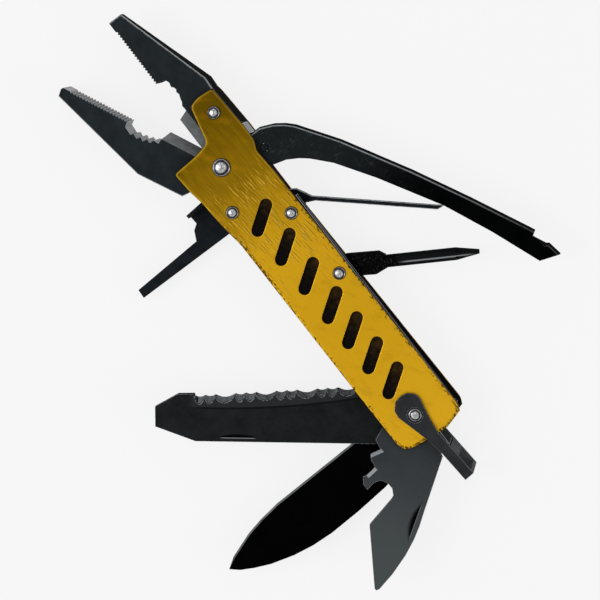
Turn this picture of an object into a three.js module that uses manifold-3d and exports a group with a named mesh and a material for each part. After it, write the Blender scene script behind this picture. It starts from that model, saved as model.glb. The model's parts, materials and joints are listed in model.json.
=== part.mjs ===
// A folding multi tool, lying on its back with its pliers and its six small tools swung out.
// Millimetres. +X runs along the handle towards the jaws, +Y is the blade side, +Z is the front.
// The origin is on the jaw pivot, on the plane that the rear rivet heads and the bail rest on.
import * as THREE from 'three';
import { mergeVertices } from 'three/addons/utils/BufferGeometryUtils.js';
import Module from 'manifold-3d';

const wasm = await Module();
wasm.setup();

// Handle
const handleSpan = 81.6; // jaw pivot to tail pivot
const handleHalfWidth = 9.7;
const coverThickness = 0.9;
const linerThickness = 0.6;
const headHeight = 1.1; // how far the rivet heads and the bail stand over a cover
const slotCount = 7;
const slotFirst = 16.7; // jaw pivot to the middle of the first slot
const slotWidth = 3.3;
const slotLength = 10.4;
const slotLean = 124; // degrees from the jaw end

// Fits
const slideGap = 0.1; // between plates that slide on each other
const boreGap = 0.13; // pin to bore, on the radius
const seatGap = 0.2; // a moving edge to the edge that stops it
const overrun = 1; // how far a cutter reaches past what it cuts
const weldDistance = 1e-4;

// Rivets
const jawPinRadius = 2.2;
const tailPinRadius = 1.3;
const toolPinRadius = 1.1;
const jawHeadRadius = 2.45;
const toolHeadRadius = 1.75;
const roundSides = 32;

// Pliers
const jawReach = 47.5;
const jawDepth = 12;
const jawTipThickness = 3.6; // of the upper jaw
const jawOpenAngle = 25.3; // degrees that the lower jaw and lever stand open
const toothPitch = 0.9;
const toothDepth = 0.45;
const lapRadius = 6.8;
const leverOverhang = 6.4; // how far the lever's tip reaches past the tail pivot
const leverReach = handleSpan + leverOverhang;
const leverDrop = 22.7;
const leverWidth = 4.4; // of the channel, from wall to wall
const leverSheet = 0.9;
const shankDiameter = 3.4; // cross-point driver
const leverPinRadius = 1;

// Folding tools: how far each reaches from its pivot, how wide and thick it is, and the angle that
// it stands at
const bladeThickness = 2.2;
const bladeSpacing = 0.3;
const tangRadius = 5.6;
const serratedReach = 69.5;
const serratedWidth = 15;
const serratedAngle = 52.5;
const scallopCount = 4; // groups of two small scallops and a large one
const scallopStartShare = 0.8475; // of the blade's reach
const scallopEndShare = 0.2228;
const scallopDepth = 1.9; // of the ground hollows, down the front face
const scallopGroup = ((scallopStartShare - scallopEndShare) * serratedReach) / scallopCount;
const knifeReach = 66.8;
const knifeWidth = 15.2;
const knifeBevel = 0.5;
const knifeAngle = 92;
const openerReach = 48.6;
const openerWidth = 19.3;
const openerAngle = 131;
const flatDriverReach = 34.8;
const flatDriverWidth = 8.2;
const flatDriverAngle = 94;
const crossDriverReach = 36.2;
const crossTangLength = 12;
const crossTangWidth = 6.2;
const crossTangThickness = 2.3;
const crossDriverAngle = 239;
const awlReach = 39;
const awlOffset = 5.6;
const awlThickness = 1.5;
const awlAngle = 229;

// Bail
const bailReach = 21.3;
const bailHalfWidth = 3.9;
const bailSheet = headHeight - slideGap;
const bailWebShare = 0.573; // where the web starts, of the bail's reach
const bailWebPlay = 0.54; // between the web and the tail spacer's lip
const bailAngle = 184;

// Levels from the table up
const rearCoverLow = headHeight;
const rearLinerLow = rearCoverLow + coverThickness;
const cavityLow = rearLinerLow + linerThickness;
const awlLow = cavityLow + slideGap;
const awlHigh = awlLow + awlThickness;
const flatDriverLow = cavityLow + slideGap;
const flatDriverHigh = flatDriverLow + bladeThickness;
const crossDriverLow = awlHigh + slideGap;
const shankLevel = crossDriverLow + shankDiameter / 2;
const leverLow = crossDriverLow + shankDiameter + 2 * slideGap;
const leverHigh = leverLow + leverWidth;
const cavityHigh = leverHigh + slideGap;
const frontCoverLow = cavityHigh + linerThickness;
const frontCoverHigh = frontCoverLow + coverThickness;
const topLevel = frontCoverHigh + headHeight;
const openerHigh = cavityHigh - slideGap;
const openerLow = openerHigh - bladeThickness;
const serratedHigh = openerLow - bladeSpacing;
const serratedLow = serratedHigh - bladeThickness;
const knifeHigh = serratedLow - bladeSpacing;
const knifeLow = knifeHigh - bladeThickness;
const lapHigh = leverLow - slideGap;
const tangLow = leverLow + leverSheet + slideGap / 2;
const tangHigh = leverHigh - leverSheet - slideGap / 2;

// Rivet places, as shares of the handle's span and half width
const jawPivot = [0, 0];
const upperJawRivet = [0.152 * handleSpan, -0.742 * handleHalfWidth];
const flatDriverPivot = [-0.135 * handleSpan, 0.505 * handleHalfWidth];
const awlPivot = [-0.25 * handleSpan, -0.753 * handleHalfWidth];
const crossDriverPivot = [-0.494 * handleSpan, -0.794 * handleHalfWidth];
const tailPivot = [-handleSpan, -0.093 * handleHalfWidth];

const gold = { color: 0xb4860f, roughness: 0.42, metalness: 1 };
const blackSteel = { color: 0x24282a, roughness: 0.45, metalness: 0.9 };
const greySteel = { color: 0x4a4e50, roughness: 0.4, metalness: 1 };
const bareSteel = { color: 0xa5a6a8, roughness: 0.35, metalness: 1 };
const brightSteel = { color: 0xd8d8da, roughness: 0.2, metalness: 1 };

// Degrees to radians
function turn(degrees) {
  return THREE.MathUtils.degToRad(degrees);
}

// Outline points from shares of a length and a width
function scaled(shares, length, width) {
  return shares.map(([along, across]) => [along * length, across * width]);
}

// Closed three.js geometry to a solid, without the slivers that a pole leaves
function solidOf(geometry) {
  geometry.deleteAttribute('normal');
  geometry.deleteAttribute('uv');
  const merged = mergeVertices(geometry, weldDistance);
  const index = merged.index.array;
  const kept = [];
  for (let i = 0; i < index.length; i += 3) {
    const [a, b, c] = [index[i], index[i + 1], index[i + 2]];
    if (a !== b && b !== c && c !== a) kept.push(a, b, c);
  }
  const vertProperties = new Float32Array(merged.attributes.position.array);
  const triVerts = new Uint32Array(kept);
  return new wasm.Manifold(new wasm.Mesh({ numProp: 3, vertProperties, triVerts }));
}

// Solid back to a three.js geometry
function geometryOf(solid) {
  const { vertProperties, triVerts, numProp } = solid.getMesh();
  const positions = new Float32Array((vertProperties.length / numProp) * 3);
  for (let i = 0; i < positions.length / 3; i += 1) {
    for (let axis = 0; axis < 3; axis += 1) positions[3 * i + axis] = vertProperties[numProp * i + axis];
  }
  const geometry = new THREE.BufferGeometry();
  geometry.setAttribute('position', new THREE.BufferAttribute(positions, 3));
  geometry.setIndex(new THREE.BufferAttribute(new Uint32Array(triVerts), 1));
  return geometry;
}

// Flat plate between two levels
function plate(points, low, high) {
  const shape = new THREE.Shape(points.map(([x, y]) => new THREE.Vector2(x, y)));
  const geometry = new THREE.ExtrudeGeometry(shape, { depth: high - low, bevelEnabled: false });
  geometry.translate(0, 0, low);
  return solidOf(geometry);
}

// Plate drawn in side view, X and Z, and run along Y
function sidePlate(points, yLow, yHigh) {
  const shape = new THREE.Shape(points.map(([x, z]) => new THREE.Vector2(x, z)));
  const geometry = new THREE.ExtrudeGeometry(shape, { depth: yHigh - yLow, bevelEnabled: false });
  geometry.rotateX(turn(90));
  geometry.translate(0, yHigh, 0);
  return solidOf(geometry);
}

// Upright round bar
function disc([x, y], radius, low, high) {
  const geometry = new THREE.CylinderGeometry(radius, radius, high - low, roundSides);
  geometry.rotateX(turn(90));
  geometry.translate(x, y, (low + high) / 2);
  return solidOf(geometry);
}

// Upright box between two corners
function block([xLow, yLow], [xHigh, yHigh], low, high) {
  const geometry = new THREE.BoxGeometry(xHigh - xLow, yHigh - yLow, high - low);
  geometry.translate((xLow + xHigh) / 2, (yLow + yHigh) / 2, (low + high) / 2);
  return solidOf(geometry);
}

// Skin through outlines of equal count at rising levels, closed by a cap at each end
function loft(levels) {
  const turned = THREE.ShapeUtils.area(levels[0].points.map(([x, y]) => new THREE.Vector2(x, y))) < 0;
  const rings = levels.map(({ points, level }) => {
    const ring = points.map(([x, y]) => [x, y, level]);
    return turned ? ring.reverse() : ring;
  });
  const count = rings[0].length;
  const index = [];
  for (let ring = 0; ring + 1 < rings.length; ring += 1) {
    for (let i = 0; i < count; i += 1) {
      const next = (i + 1) % count;
      const [a, b] = [ring * count + i, ring * count + next];
      index.push(a, b, b + count, a, b + count, a + count);
    }
  }
  const cap = (ring) => {
    const outline = rings[ring].map(([x, y]) => new THREE.Vector2(x, y));
    return THREE.ShapeUtils.triangulateShape(outline, []).flat();
  };
  const bottom = cap(0);
  const top = cap(rings.length - 1);
  for (let i = 0; i < bottom.length; i += 3) index.push(bottom[i], bottom[i + 2], bottom[i + 1]);
  for (const corner of top) index.push(corner + count * (rings.length - 1));
  const geometry = new THREE.BufferGeometry();
  geometry.setAttribute('position', new THREE.Float32BufferAttribute(rings.flat(2), 3));
  geometry.setIndex(index);
  return solidOf(geometry);
}

// Points on an arc, both ends included
function arc([x, y], radius, from, to, steps) {
  const points = [];
  for (let step = 0; step <= steps; step += 1) {
    const angle = turn(from + ((to - from) * step) / steps);
    points.push([x + radius * Math.cos(angle), y + radius * Math.sin(angle)]);
  }
  return points;
}

// Open line moved sideways, to its left for a positive distance
function offsetLine(points, distance) {
  return points.map(([x, y], i) => {
    const [xBefore, yBefore] = points[Math.max(i - 1, 0)];
    const [xAfter, yAfter] = points[Math.min(i + 1, points.length - 1)];
    const length = Math.hypot(xAfter - xBefore, yAfter - yBefore);
    const [xAlong, yAlong] = [(xAfter - xBefore) / length, (yAfter - yBefore) / length];
    return [x - distance * yAlong, y + distance * xAlong];
  });
}

// Zigzag from one point to the next, its crests on the line and its roots a depth to the left
function teeth([xFrom, yFrom], [xTo, yTo], pitch, depth) {
  const length = Math.hypot(xTo - xFrom, yTo - yFrom);
  const count = Math.max(1, Math.round(length / pitch));
  const [xAlong, yAlong] = [(xTo - xFrom) / length, (yTo - yFrom) / length];
  const points = [];
  for (let half = 0; half <= 2 * count; half += 1) {
    const along = (length * half) / (2 * count);
    const sink = half % 2 === 0 ? 0 : depth;
    points.push([xFrom + xAlong * along - yAlong * sink, yFrom + yAlong * along + xAlong * sink]);
  }
  return points;
}

// Slot outline with round ends
function capsule([x, y], angle, halfLength, radius) {
  const [xAlong, yAlong] = [Math.cos(turn(angle)), Math.sin(turn(angle))];
  const endSteps = 8;
  const near = [x - halfLength * xAlong, y - halfLength * yAlong];
  const far = [x + halfLength * xAlong, y + halfLength * yAlong];
  return [
    ...arc(far, radius, angle - 90, angle + 90, endSteps),
    ...arc(near, radius, angle + 90, angle + 270, endSteps),
  ];
}

const root = new THREE.Group();

// Adds a solid as a named piece of a group
function piece(group, name, solid, look) {
  const mesh = new THREE.Mesh(geometryOf(solid), new THREE.MeshStandardMaterial(look));
  mesh.name = name;
  group.add(mesh);
}

// A group whose own X axis points along a tool that turns about a pivot
function toolGroup([x, y], angle) {
  const group = new THREE.Group();
  group.position.set(x, y, 0);
  group.rotation.z = turn(angle);
  root.add(group);
  return group;
}

const handleRivets = [
  [jawPivot, jawPinRadius],
  [upperJawRivet, toolPinRadius],
  [flatDriverPivot, toolPinRadius],
  [awlPivot, toolPinRadius],
  [crossDriverPivot, toolPinRadius],
  [tailPivot, tailPinRadius],
];

// Takes the running bore of an upright pin out of a solid
function bore(solid, place, pinRadius) {
  return solid.subtract(disc(place, pinRadius + boreGap, -overrun, topLevel + overrun));
}

// Takes the bores of all the handle's rivets out of a plate
function bored(solid) {
  return handleRivets.reduce((rest, [place, radius]) => bore(rest, place, radius), solid);
}

// Plan of the two covers and the two liners, from the jaw horn round the lever side to the tail
const coverEdgeShares = [
  [0.212, -0.33], [0.221, -0.619], [0.216, -1.093], [0.066, -1.155], [0.005, -1.155],
  [-0.025, -1.031], [-0.1, -1.072], [-1.053, -1.175], [-1.075, -1.103], [-1.093, -0.577],
  [-1.089, -0.093], [-1.082, 0.495], [-1.069, 0.732], [-1.045, 0.794], [-0.805, 0.825],
  [-0.229, 0.866], [-0.18, 0.928], [-0.114, 0.979], [-0.054, 1.01], [0.002, 1.093],
  [0.074, 1.134], [0.078, 0.381], [0.086, 0], [0.096, -0.103],
];
const coverEdge = scaled(coverEdgeShares, handleSpan, handleHalfWidth);

// The rear cover and liner stand further in along the lever, between the jaw's root and the tail
const leverInsetShares = [[-0.025, -0.965], [-0.19, -0.965], [-0.29, -1.03]];
const rearEdgeShares = [...coverEdgeShares.slice(0, 5), ...leverInsetShares, ...coverEdgeShares.slice(7)];
const rearEdge = scaled(rearEdgeShares, handleSpan, handleHalfWidth);

// Cover pressed from brass-coloured sheet, with a row of leaning slots that close up to the tail
function cover(edge, low) {
  const slotPitchShare = 0.119;
  const tailPitchShare = 0.1026;
  const wideSteps = 3;
  const slotDropShare = 0.024;
  let solid = plate(edge, low, low + coverThickness);
  let x = -slotFirst;
  for (let slot = 0; slot < slotCount; slot += 1) {
    const y = x * slotDropShare;
    const half = (slotLength - slotWidth) / 2;
    const outline = capsule([x, y], slotLean, half, slotWidth / 2);
    solid = solid.subtract(plate(outline, low - overrun, low + coverThickness + overrun));
    x -= handleSpan * (slot < wideSteps ? slotPitchShare : tailPitchShare);
  }
  return bored(solid);
}

function liner(edge, low) {
  return bored(plate(edge, low, low + linerThickness));
}

piece(root, 'rear_cover', cover(rearEdge, rearCoverLow), gold);
piece(root, 'rear_liner', liner(rearEdge, rearLinerLow), blackSteel);
piece(root, 'front_liner', liner(coverEdge, cavityHigh), blackSteel);
piece(root, 'front_cover', cover(coverEdge, frontCoverLow), gold);

// Rivet with a flat crown at the back and a domed one at the front
function rivet([x, y], pinRadius, headRadius) {
  const flatShare = 0.82;
  const rimShare = 0.5;
  const shoulderShare = 0.88;
  const crownShare = 0.45;
  const rim = headHeight * rimShare;
  const profile = [
    [0, 0],
    [headRadius * flatShare, 0],
    [headRadius, rim],
    [headRadius, headHeight],
    [pinRadius, headHeight],
    [pinRadius, frontCoverHigh],
    [headRadius, frontCoverHigh],
    [headRadius, topLevel - rim],
    [headRadius * shoulderShare, topLevel - rim / 2],
    [headRadius * crownShare, topLevel],
    [0, topLevel],
  ];
  return turned(profile, [x, y]);
}

// Solid of revolution about an upright axis
function turned(profile, [x, y]) {
  const points = profile.map(([radius, level]) => new THREE.Vector2(radius, level));
  const geometry = new THREE.LatheGeometry(points, roundSides);
  geometry.rotateX(turn(90));
  geometry.translate(x, y, 0);
  return solidOf(geometry);
}

piece(root, 'jaw_pivot_rivet', rivet(jawPivot, jawPinRadius, jawHeadRadius), brightSteel);
piece(root, 'upper_jaw_rivet', rivet(upperJawRivet, toolPinRadius, toolHeadRadius), brightSteel);
piece(root, 'flat_driver_rivet', rivet(flatDriverPivot, toolPinRadius, toolHeadRadius), brightSteel);
piece(root, 'awl_rivet', rivet(awlPivot, toolPinRadius, toolHeadRadius), brightSteel);
piece(root, 'cross_driver_rivet', rivet(crossDriverPivot, toolPinRadius, toolHeadRadius), brightSteel);

// The tail rivet's two heads lie sunk in the arms of the bail
const bailRecessDepth = 0.55 * bailSheet;
const bailRecessRadius = 1.2 * toolHeadRadius;

function tailRivet() {
  const sink = slideGap;
  const headLow = bailRecessDepth - slideGap / 2;
  const crownShare = 0.7;
  const profile = [
    [0, sink],
    [toolHeadRadius * crownShare, sink],
    [toolHeadRadius, headLow - sink],
    [toolHeadRadius, headLow],
    [tailPinRadius, headLow],
    [tailPinRadius, topLevel - headLow],
    [toolHeadRadius, topLevel - headLow],
    [toolHeadRadius, topLevel - headLow + sink],
    [toolHeadRadius * crownShare, topLevel - sink],
    [0, topLevel - sink],
  ];
  return turned(profile, tailPivot);
}

piece(root, 'tail_rivet', tailRivet(), brightSteel);

// Washer on a pin
function washer(place, pinRadius, outerRadius, low, high) {
  return bore(disc(place, outerRadius, low, high), place, pinRadius);
}

const bladeWasherRadius = 2.6 * tailPinRadius;
const toolWasherRadius = 1.9 * toolPinRadius;
const washerPlay = slideGap / 2;

piece(root, 'opener_washer', washer(tailPivot, tailPinRadius, bladeWasherRadius, serratedHigh + washerPlay,
  openerLow - washerPlay), bareSteel);
piece(root, 'serrated_washer', washer(tailPivot, tailPinRadius, bladeWasherRadius, knifeHigh + washerPlay,
  serratedLow - washerPlay), bareSteel);
piece(root, 'knife_washer', washer(tailPivot, tailPinRadius, bladeWasherRadius, cavityLow,
  knifeLow - washerPlay), bareSteel);
piece(root, 'awl_washer', washer(awlPivot, toolPinRadius, toolWasherRadius, awlHigh + washerPlay,
  knifeHigh + washerPlay), bareSteel);
piece(root, 'cross_driver_rear_washer', washer(crossDriverPivot, toolPinRadius, toolWasherRadius, cavityLow,
  crossDriverLow - washerPlay), bareSteel);
piece(root, 'cross_driver_front_washer', washer(crossDriverPivot, toolPinRadius, toolWasherRadius,
  crossDriverLow + crossTangThickness + washerPlay, knifeHigh + washerPlay), bareSteel);
piece(root, 'flat_driver_washer', washer(flatDriverPivot, toolPinRadius, toolWasherRadius,
  flatDriverHigh + washerPlay, knifeHigh + washerPlay), bareSteel);

// Back spring of the blades: a bar along the lever side that two rivets carry, with a nose that
// bears on the tangs at the tail. An open eye leaves room for the blade that lies beside it.
function backSpring(low, high, eyeRiseShare) {
  const startShare = 0.213;
  const endShare = 1.04;
  const innerShare = 1;
  const outerShare = 1.128;
  const xStart = -startShare * handleSpan;
  const xEnd = -endShare * handleSpan;
  const yInner = -innerShare * handleHalfWidth;
  const yOuter = -outerShare * handleHalfWidth;
  let solid = block([xEnd, yOuter], [xStart, yInner], low, high);
  for (const [x, y] of [awlPivot, crossDriverPivot]) {
    const eye = toolWasherRadius;
    solid = solid.add(block([x - eye, yOuter], [x + eye, y + eyeRiseShare * toolPinRadius], low, high));
  }
  const noseShare = 0.35;
  const [xTail, yTail] = tailPivot;
  const noseTop = yTail - tangRadius - seatGap;
  solid = solid.add(block([xEnd, yOuter], [xTail + noseShare * tangRadius, noseTop], low, high));
  return bore(bore(solid, awlPivot, toolPinRadius), crossDriverPivot, toolPinRadius);
}

const closedEyeShare = 1.9;
const openEyeShare = 0.6;
const rearSpring = backSpring(serratedLow + bladeSpacing, serratedHigh + washerPlay, openEyeShare);
piece(root, 'rear_back_spring', rearSpring, greySteel);
piece(root, 'front_back_spring', backSpring(openerLow, openerHigh, closedEyeShare), blackSteel);

// Block between the liners at the lever side of the tail, with a lip that stops the open blades
const tailSpacerShares = [
  [-1.083, -0.235], [-1.068, -0.58], [-1.05, -0.7], [-1.048, -1.05], [-1.056, -1.07], [-1.07, -1.02],
  [-1.088, -0.56], [-1.09, -0.325],
];
const lipEnd = tailPivot[0] - bailWebShare * bailReach + bailWebPlay;
const tailSpacerEdge = [
  ...scaled(tailSpacerShares, handleSpan, handleHalfWidth),
  [lipEnd, -0.325 * handleHalfWidth],
  [lipEnd, -0.235 * handleHalfWidth],
];
piece(root, 'tail_spacer', plate(tailSpacerEdge, cavityLow, cavityHigh), greySteel);

// Bare steel block behind the lever's root. It stops the open lever at its heel and its knee.
const leverHeelShare = [-0.013, -0.346];
const [xHeel, yHeel] = [leverHeelShare[0] * leverReach, leverHeelShare[1] * leverDrop];
const leverKneeShare = [-0.044, -0.599];
const [xKnee, yKnee] = [leverKneeShare[0] * leverReach, leverKneeShare[1] * leverDrop];
const xOpen = (x, y) => x * Math.cos(turn(jawOpenAngle)) - y * Math.sin(turn(jawOpenAngle));
const yOpen = (x, y) => x * Math.sin(turn(jawOpenAngle)) + y * Math.cos(turn(jawOpenAngle));
const headSpacerLength = 3.35;
const headSpacerStart = Math.max(xOpen(xHeel, yHeel), xOpen(xKnee, yKnee)) + seatGap;
const headSpacerLow = [headSpacerStart, -1.145 * handleHalfWidth];
const headSpacerHigh = [headSpacerStart + headSpacerLength, yOpen(xHeel, yHeel) - 2 * seatGap];
piece(root, 'head_spacer', block(headSpacerLow, headSpacerHigh, cavityLow, cavityHigh), bareSteel);

// Slanted cut on the rear face that thins the upper jaw towards its tip
function taperedJaw(solid, low, high) {
  const startShare = 0.42;
  const xStart = startShare * jawReach;
  const xEnd = jawReach + overrun;
  const tipLevel = high - jawTipThickness;
  const reach = jawDepth + jawReach;
  return solid.subtract(sidePlate([
    [xStart, low],
    [jawReach, tipLevel],
    [xEnd, tipLevel],
    [xEnd, low - overrun],
    [xStart, low - overrun],
  ], -reach, reach));
}

// Half of the gap that the closed jaws keep, and the line that they close on
const closeGap = seatGap / 2;
const closeLine = 0.0625 * jawDepth;
const gripEndShare = 0.581;
const gripStartShare = 0.938;

// The two cutters pass each other like shears: the upper one behind that level, the lower
// one before it
const cutterLevel = lapHigh - bladeSpacing;
const cutterNearShare = 0.12;
const cutterFarShare = 0.352;
const upperCutterLine = closeLine + 0.11 * jawDepth;
const lowerCutterLine = closeLine - 0.17 * jawDepth;

// Fixed upper jaw: fine teeth, pipe grip and wire cutter, with a thin lap behind the pivot
function upperJaw() {
  const line = closeLine - closeGap;
  const wall = lowerCutterLine - seatGap;
  const pipeGripShares = [
    [0.575, -0.018], [0.573, -0.105], [0.558, -0.178], [0.541, -0.203], [0.516, -0.175], [0.506, -0.216],
    [0.49, -0.233], [0.475, -0.199], [0.459, -0.221], [0.436, -0.184], [0.415, -0.164], [0.397, -0.115],
  ];
  const backShares = [[0.129, -0.925], [0.377, -0.883], [0.44, -0.9], [0.998, -0.275]];
  const outline = [
    [jawReach, line],
    ...teeth([gripStartShare * jawReach, line], [gripEndShare * jawReach, line], toothPitch, toothDepth),
    ...scaled(pipeGripShares, jawReach, jawDepth),
    [0.38 * jawReach, wall],
    [0, wall],
    [0, -0.9 * jawDepth],
    ...scaled(backShares, jawReach, jawDepth),
  ];
  const lapEdge = lapRadius + seatGap + slideGap;
  const rootShare = 0.129;
  let grip = plate(outline, cavityLow, cavityHigh);
  grip = taperedJaw(grip, cavityLow, cavityHigh);
  const cutter = [
    [cutterNearShare * jawReach, wall - overrun],
    [0.38 * jawReach, wall - overrun],
    [0.377 * jawReach, wall],
    [cutterFarShare * jawReach, upperCutterLine],
    [cutterNearShare * jawReach, upperCutterLine],
  ];
  grip = grip.subtract(disc(jawPivot, lapEdge, lapHigh, cavityHigh + overrun));
  const frontRoom = [rootShare * jawReach, closeLine + overrun];
  grip = grip.subtract(block([-jawReach, -2 * jawDepth], frontRoom, lapHigh, cavityHigh + overrun));
  const tangEnd = awlPivot[0] + awlOffset + toolWasherRadius;
  const lapShares = [[-0.908, -0.353], [-0.21, 0.794], [0.838, 0.353], [0.978, -0.53], [0.978, -1.394]];
  const tangEdge = [
    [tangEnd, -0.79 * jawDepth],
    [tangEnd, -0.55 * jawDepth],
    ...scaled(lapShares, lapRadius, lapRadius),
  ];
  const tang = plate(tangEdge, cavityLow, lapHigh);
  let solid = grip.add(tang).add(disc(jawPivot, lapRadius, cavityLow, lapHigh));
  solid = solid.add(plate(cutter, cavityLow, cutterLevel - slideGap / 2));
  solid = solid.subtract(block([headSpacerLow[0] - seatGap, headSpacerLow[1] - overrun],
    [headSpacerHigh[0], headSpacerHigh[1]], cavityLow - overrun, cavityHigh + overrun));
  return bored(solid.subtract(springSeat()));
}

// Round seat for the opening spring in the upper jaw's lap
const springSeatRadius = 2.1 * jawPinRadius;
const springDepth = 1.3;

function springSeat() {
  const seatLow = lapHigh - springDepth - 2 * seatGap;
  return disc(jawPivot, springSeatRadius, seatLow, lapHigh + overrun);
}

piece(root, 'upper_jaw', upperJaw(), blackSteel);

// The lower jaw, the lever and what they carry are drawn closed and turned open together
const pliers = toolGroup(jawPivot, jawOpenAngle);

function lowerJaw() {
  const line = closeLine + closeGap;
  const wall = upperCutterLine + seatGap;
  const pipeGripShares = [
    [0.404, 0.18], [0.417, 0.27], [0.44, 0.22], [0.455, 0.31], [0.478, 0.245],
    [0.493, 0.32], [0.518, 0.255], [0.533, 0.305], [0.579, 0.2],
  ];
  const backShares = [[0.989, 0.12], [0.983, 0.285], [0.4, 1.0], [0.126, 0.98], [0.107, 0.85]];
  const outline = [
    [0, wall],
    [0.38 * jawReach, wall],
    ...scaled(pipeGripShares, jawReach, jawDepth),
    ...teeth([gripEndShare * jawReach, line], [gripStartShare * jawReach, line], toothPitch, toothDepth),
    [0.982 * jawReach, line],
    ...scaled(backShares, jawReach, jawDepth),
    [0.02 * jawReach, 0.6 * jawDepth],
  ];
  const low = cavityLow + slideGap;
  const high = cavityHigh - slideGap;
  const lapEdge = lapRadius + seatGap + slideGap;
  const heel = [[0.375 * jawReach, wall + overrun], [cutterNearShare * jawReach, wall + overrun]];
  const edge = [[cutterNearShare * jawReach, lowerCutterLine], [cutterFarShare * jawReach, lowerCutterLine]];
  const shoulder = [[cutterNearShare * jawReach, line], [0.368 * jawReach, line]];
  const cutter = loft([
    { points: [...heel, ...edge], level: cutterLevel + slideGap / 2 },
    { points: [...heel, ...shoulder], level: high },
  ]);
  let grip = plate(outline, low, high).add(cutter);
  grip = grip.subtract(disc(jawPivot, lapEdge, low - overrun, high + overrun));
  const neckShares = [[0.105, 0.3], [0.2, 0.3], [0.2, 0.6], [0.06, 0.72]];
  const armShares = [
    [-0.011, 0.264], [-0.071, -0.079], [-0.085, -0.196], [-0.125, -0.322],
    [-0.092, -0.566], [-0.052, -0.539], [-0.018, -0.349], [0.016, -0.270],
  ];
  const neckEdge = [...scaled(neckShares, jawReach, jawDepth), ...scaled(armShares, leverReach, leverDrop)];
  const neck = plate(neckEdge, tangLow, tangHigh);
  const tang = disc(jawPivot, lapRadius - 2 * seatGap, tangLow, tangHigh);
  return bore(bore(grip.add(neck).add(tang), jawPivot, jawPinRadius), leverPinPlace, leverPinRadius);
}

// Pin that ties the lever to the lower jaw's tang
const leverPinPlace = [-0.085 * leverReach, -0.42 * leverDrop];

// Lever: a steel channel, open towards the handle, with a notch near its tip for the bail
function leverChannel() {
  const rootShares = [[0.045, -0.22], [0.022, -0.286], leverHeelShare];
  const outerShares = [
    leverKneeShare, [-0.077, -0.709], [-0.106, -0.771], [-0.135, -0.811], [-0.275, -0.899],
    [-0.502, -0.965], [-0.691, -0.991], [-0.876, -1],
  ];
  const [xTail, yTail] = tailPivot;
  const bridgeRadius = bailReach - bailSheet;
  const notchFloor = yTail - bridgeRadius + seatGap;
  const notchHalf = 0.5 * bailHalfWidth;
  const notch = [
    [xTail + notchHalf + seatGap, -leverDrop],
    [xTail + notchHalf, notchFloor],
    [xTail - notchHalf, notchFloor],
    [xTail - notchHalf - 3 * seatGap, notchFloor - 2 * seatGap],
  ];
  const tipShares = [[-1, -0.895], [-0.956, -0.722]];
  const innerShares = [
    [-0.793, -0.767], [-0.634, -0.78], [-0.423, -0.709], [-0.289, -0.634], [-0.22, -0.551],
    [-0.191, -0.498], [-0.159, -0.414], [-0.133, -0.3], [-0.09, -0.205], [-0.074, -0.088], [0, 0],
  ];
  const outer = scaled(outerShares, leverReach, leverDrop);
  const outline = [
    ...scaled(rootShares, leverReach, leverDrop),
    ...outer,
    ...notch,
    ...scaled(tipShares, leverReach, leverDrop),
    ...scaled(innerShares, leverReach, leverDrop),
  ];
  let solid = plate(outline, leverLow, leverHigh).add(disc(jawPivot, lapRadius, leverLow, leverHigh));
  const endShare = 0.93;
  const web = offsetLine([...outer, [-endShare * leverReach, -leverDrop]], -leverSheet);
  const innerWeb = web.map(([x, y]) => [x, x < xTail + 2 * notchHalf ? notchFloor + leverSheet : y]);
  const room = [
    [lapRadius + overrun, lapRadius + overrun],
    [lapRadius + overrun, -0.9 * lapRadius],
    [-0.03 * leverReach, -0.55 * leverDrop],
    ...innerWeb,
    [-endShare * leverReach, 0],
    [-2 * lapRadius, lapRadius],
  ];
  solid = solid.subtract(plate(room, leverLow + leverSheet, leverHigh - leverSheet));
  solid = bore(bore(solid, jawPivot, jawPinRadius), leverPinPlace, leverPinRadius);
  const legHole = disc(springLegPlace, springLegRadius + boreGap, leverLow - overrun, leverLow + leverSheet);
  return solid.subtract(legHole);
}

// Opening spring: a flat coil round the pivot, with a leg that stands up into the lever's rear wall
const springLegRadius = 0.4;
const springLegPlace = arc(jawPivot, 1.65 * jawPinRadius, 250, 250, 1)[0];

function openingSpring() {
  const inner = jawPinRadius + 2 * seatGap;
  const outer = springSeatRadius - seatGap;
  const [from, to, steps] = [-125, 210, 24];
  const outline = [...arc(jawPivot, outer, from, to, steps), ...arc(jawPivot, inner, to, from, steps)];
  const low = lapHigh - springDepth - seatGap;
  const coil = plate(outline, low, lapHigh - seatGap);
  return coil.add(disc(springLegPlace, springLegRadius, low, leverLow + leverSheet - slideGap));
}

piece(pliers, 'lower_jaw', lowerJaw(), blackSteel);
piece(pliers, 'lever_channel', leverChannel(), blackSteel);
piece(pliers, 'lever_tang_pin', disc(leverPinPlace, leverPinRadius, leverLow, leverHigh), greySteel);
piece(pliers, 'opening_spring', openingSpring(), bareSteel);

// Each folding tool is drawn in its own group, about this point
const ownPivot = [0, 0];

// Part of a closed outline moved inwards, for the face of a ground bevel
function ground(points, first, last, width) {
  const area = THREE.ShapeUtils.area(points.map(([x, y]) => new THREE.Vector2(x, y)));
  const side = area > 0 ? width : -width;
  const moved = offsetLine(points, side);
  return points.map((point, i) => (i > first && i < last ? moved[i] : point));
}

// Tang of a blade: the round end that turns against the back springs
function tangArc(from, to) {
  return arc([0, 0], tangRadius, from, to, 10);
}

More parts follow.
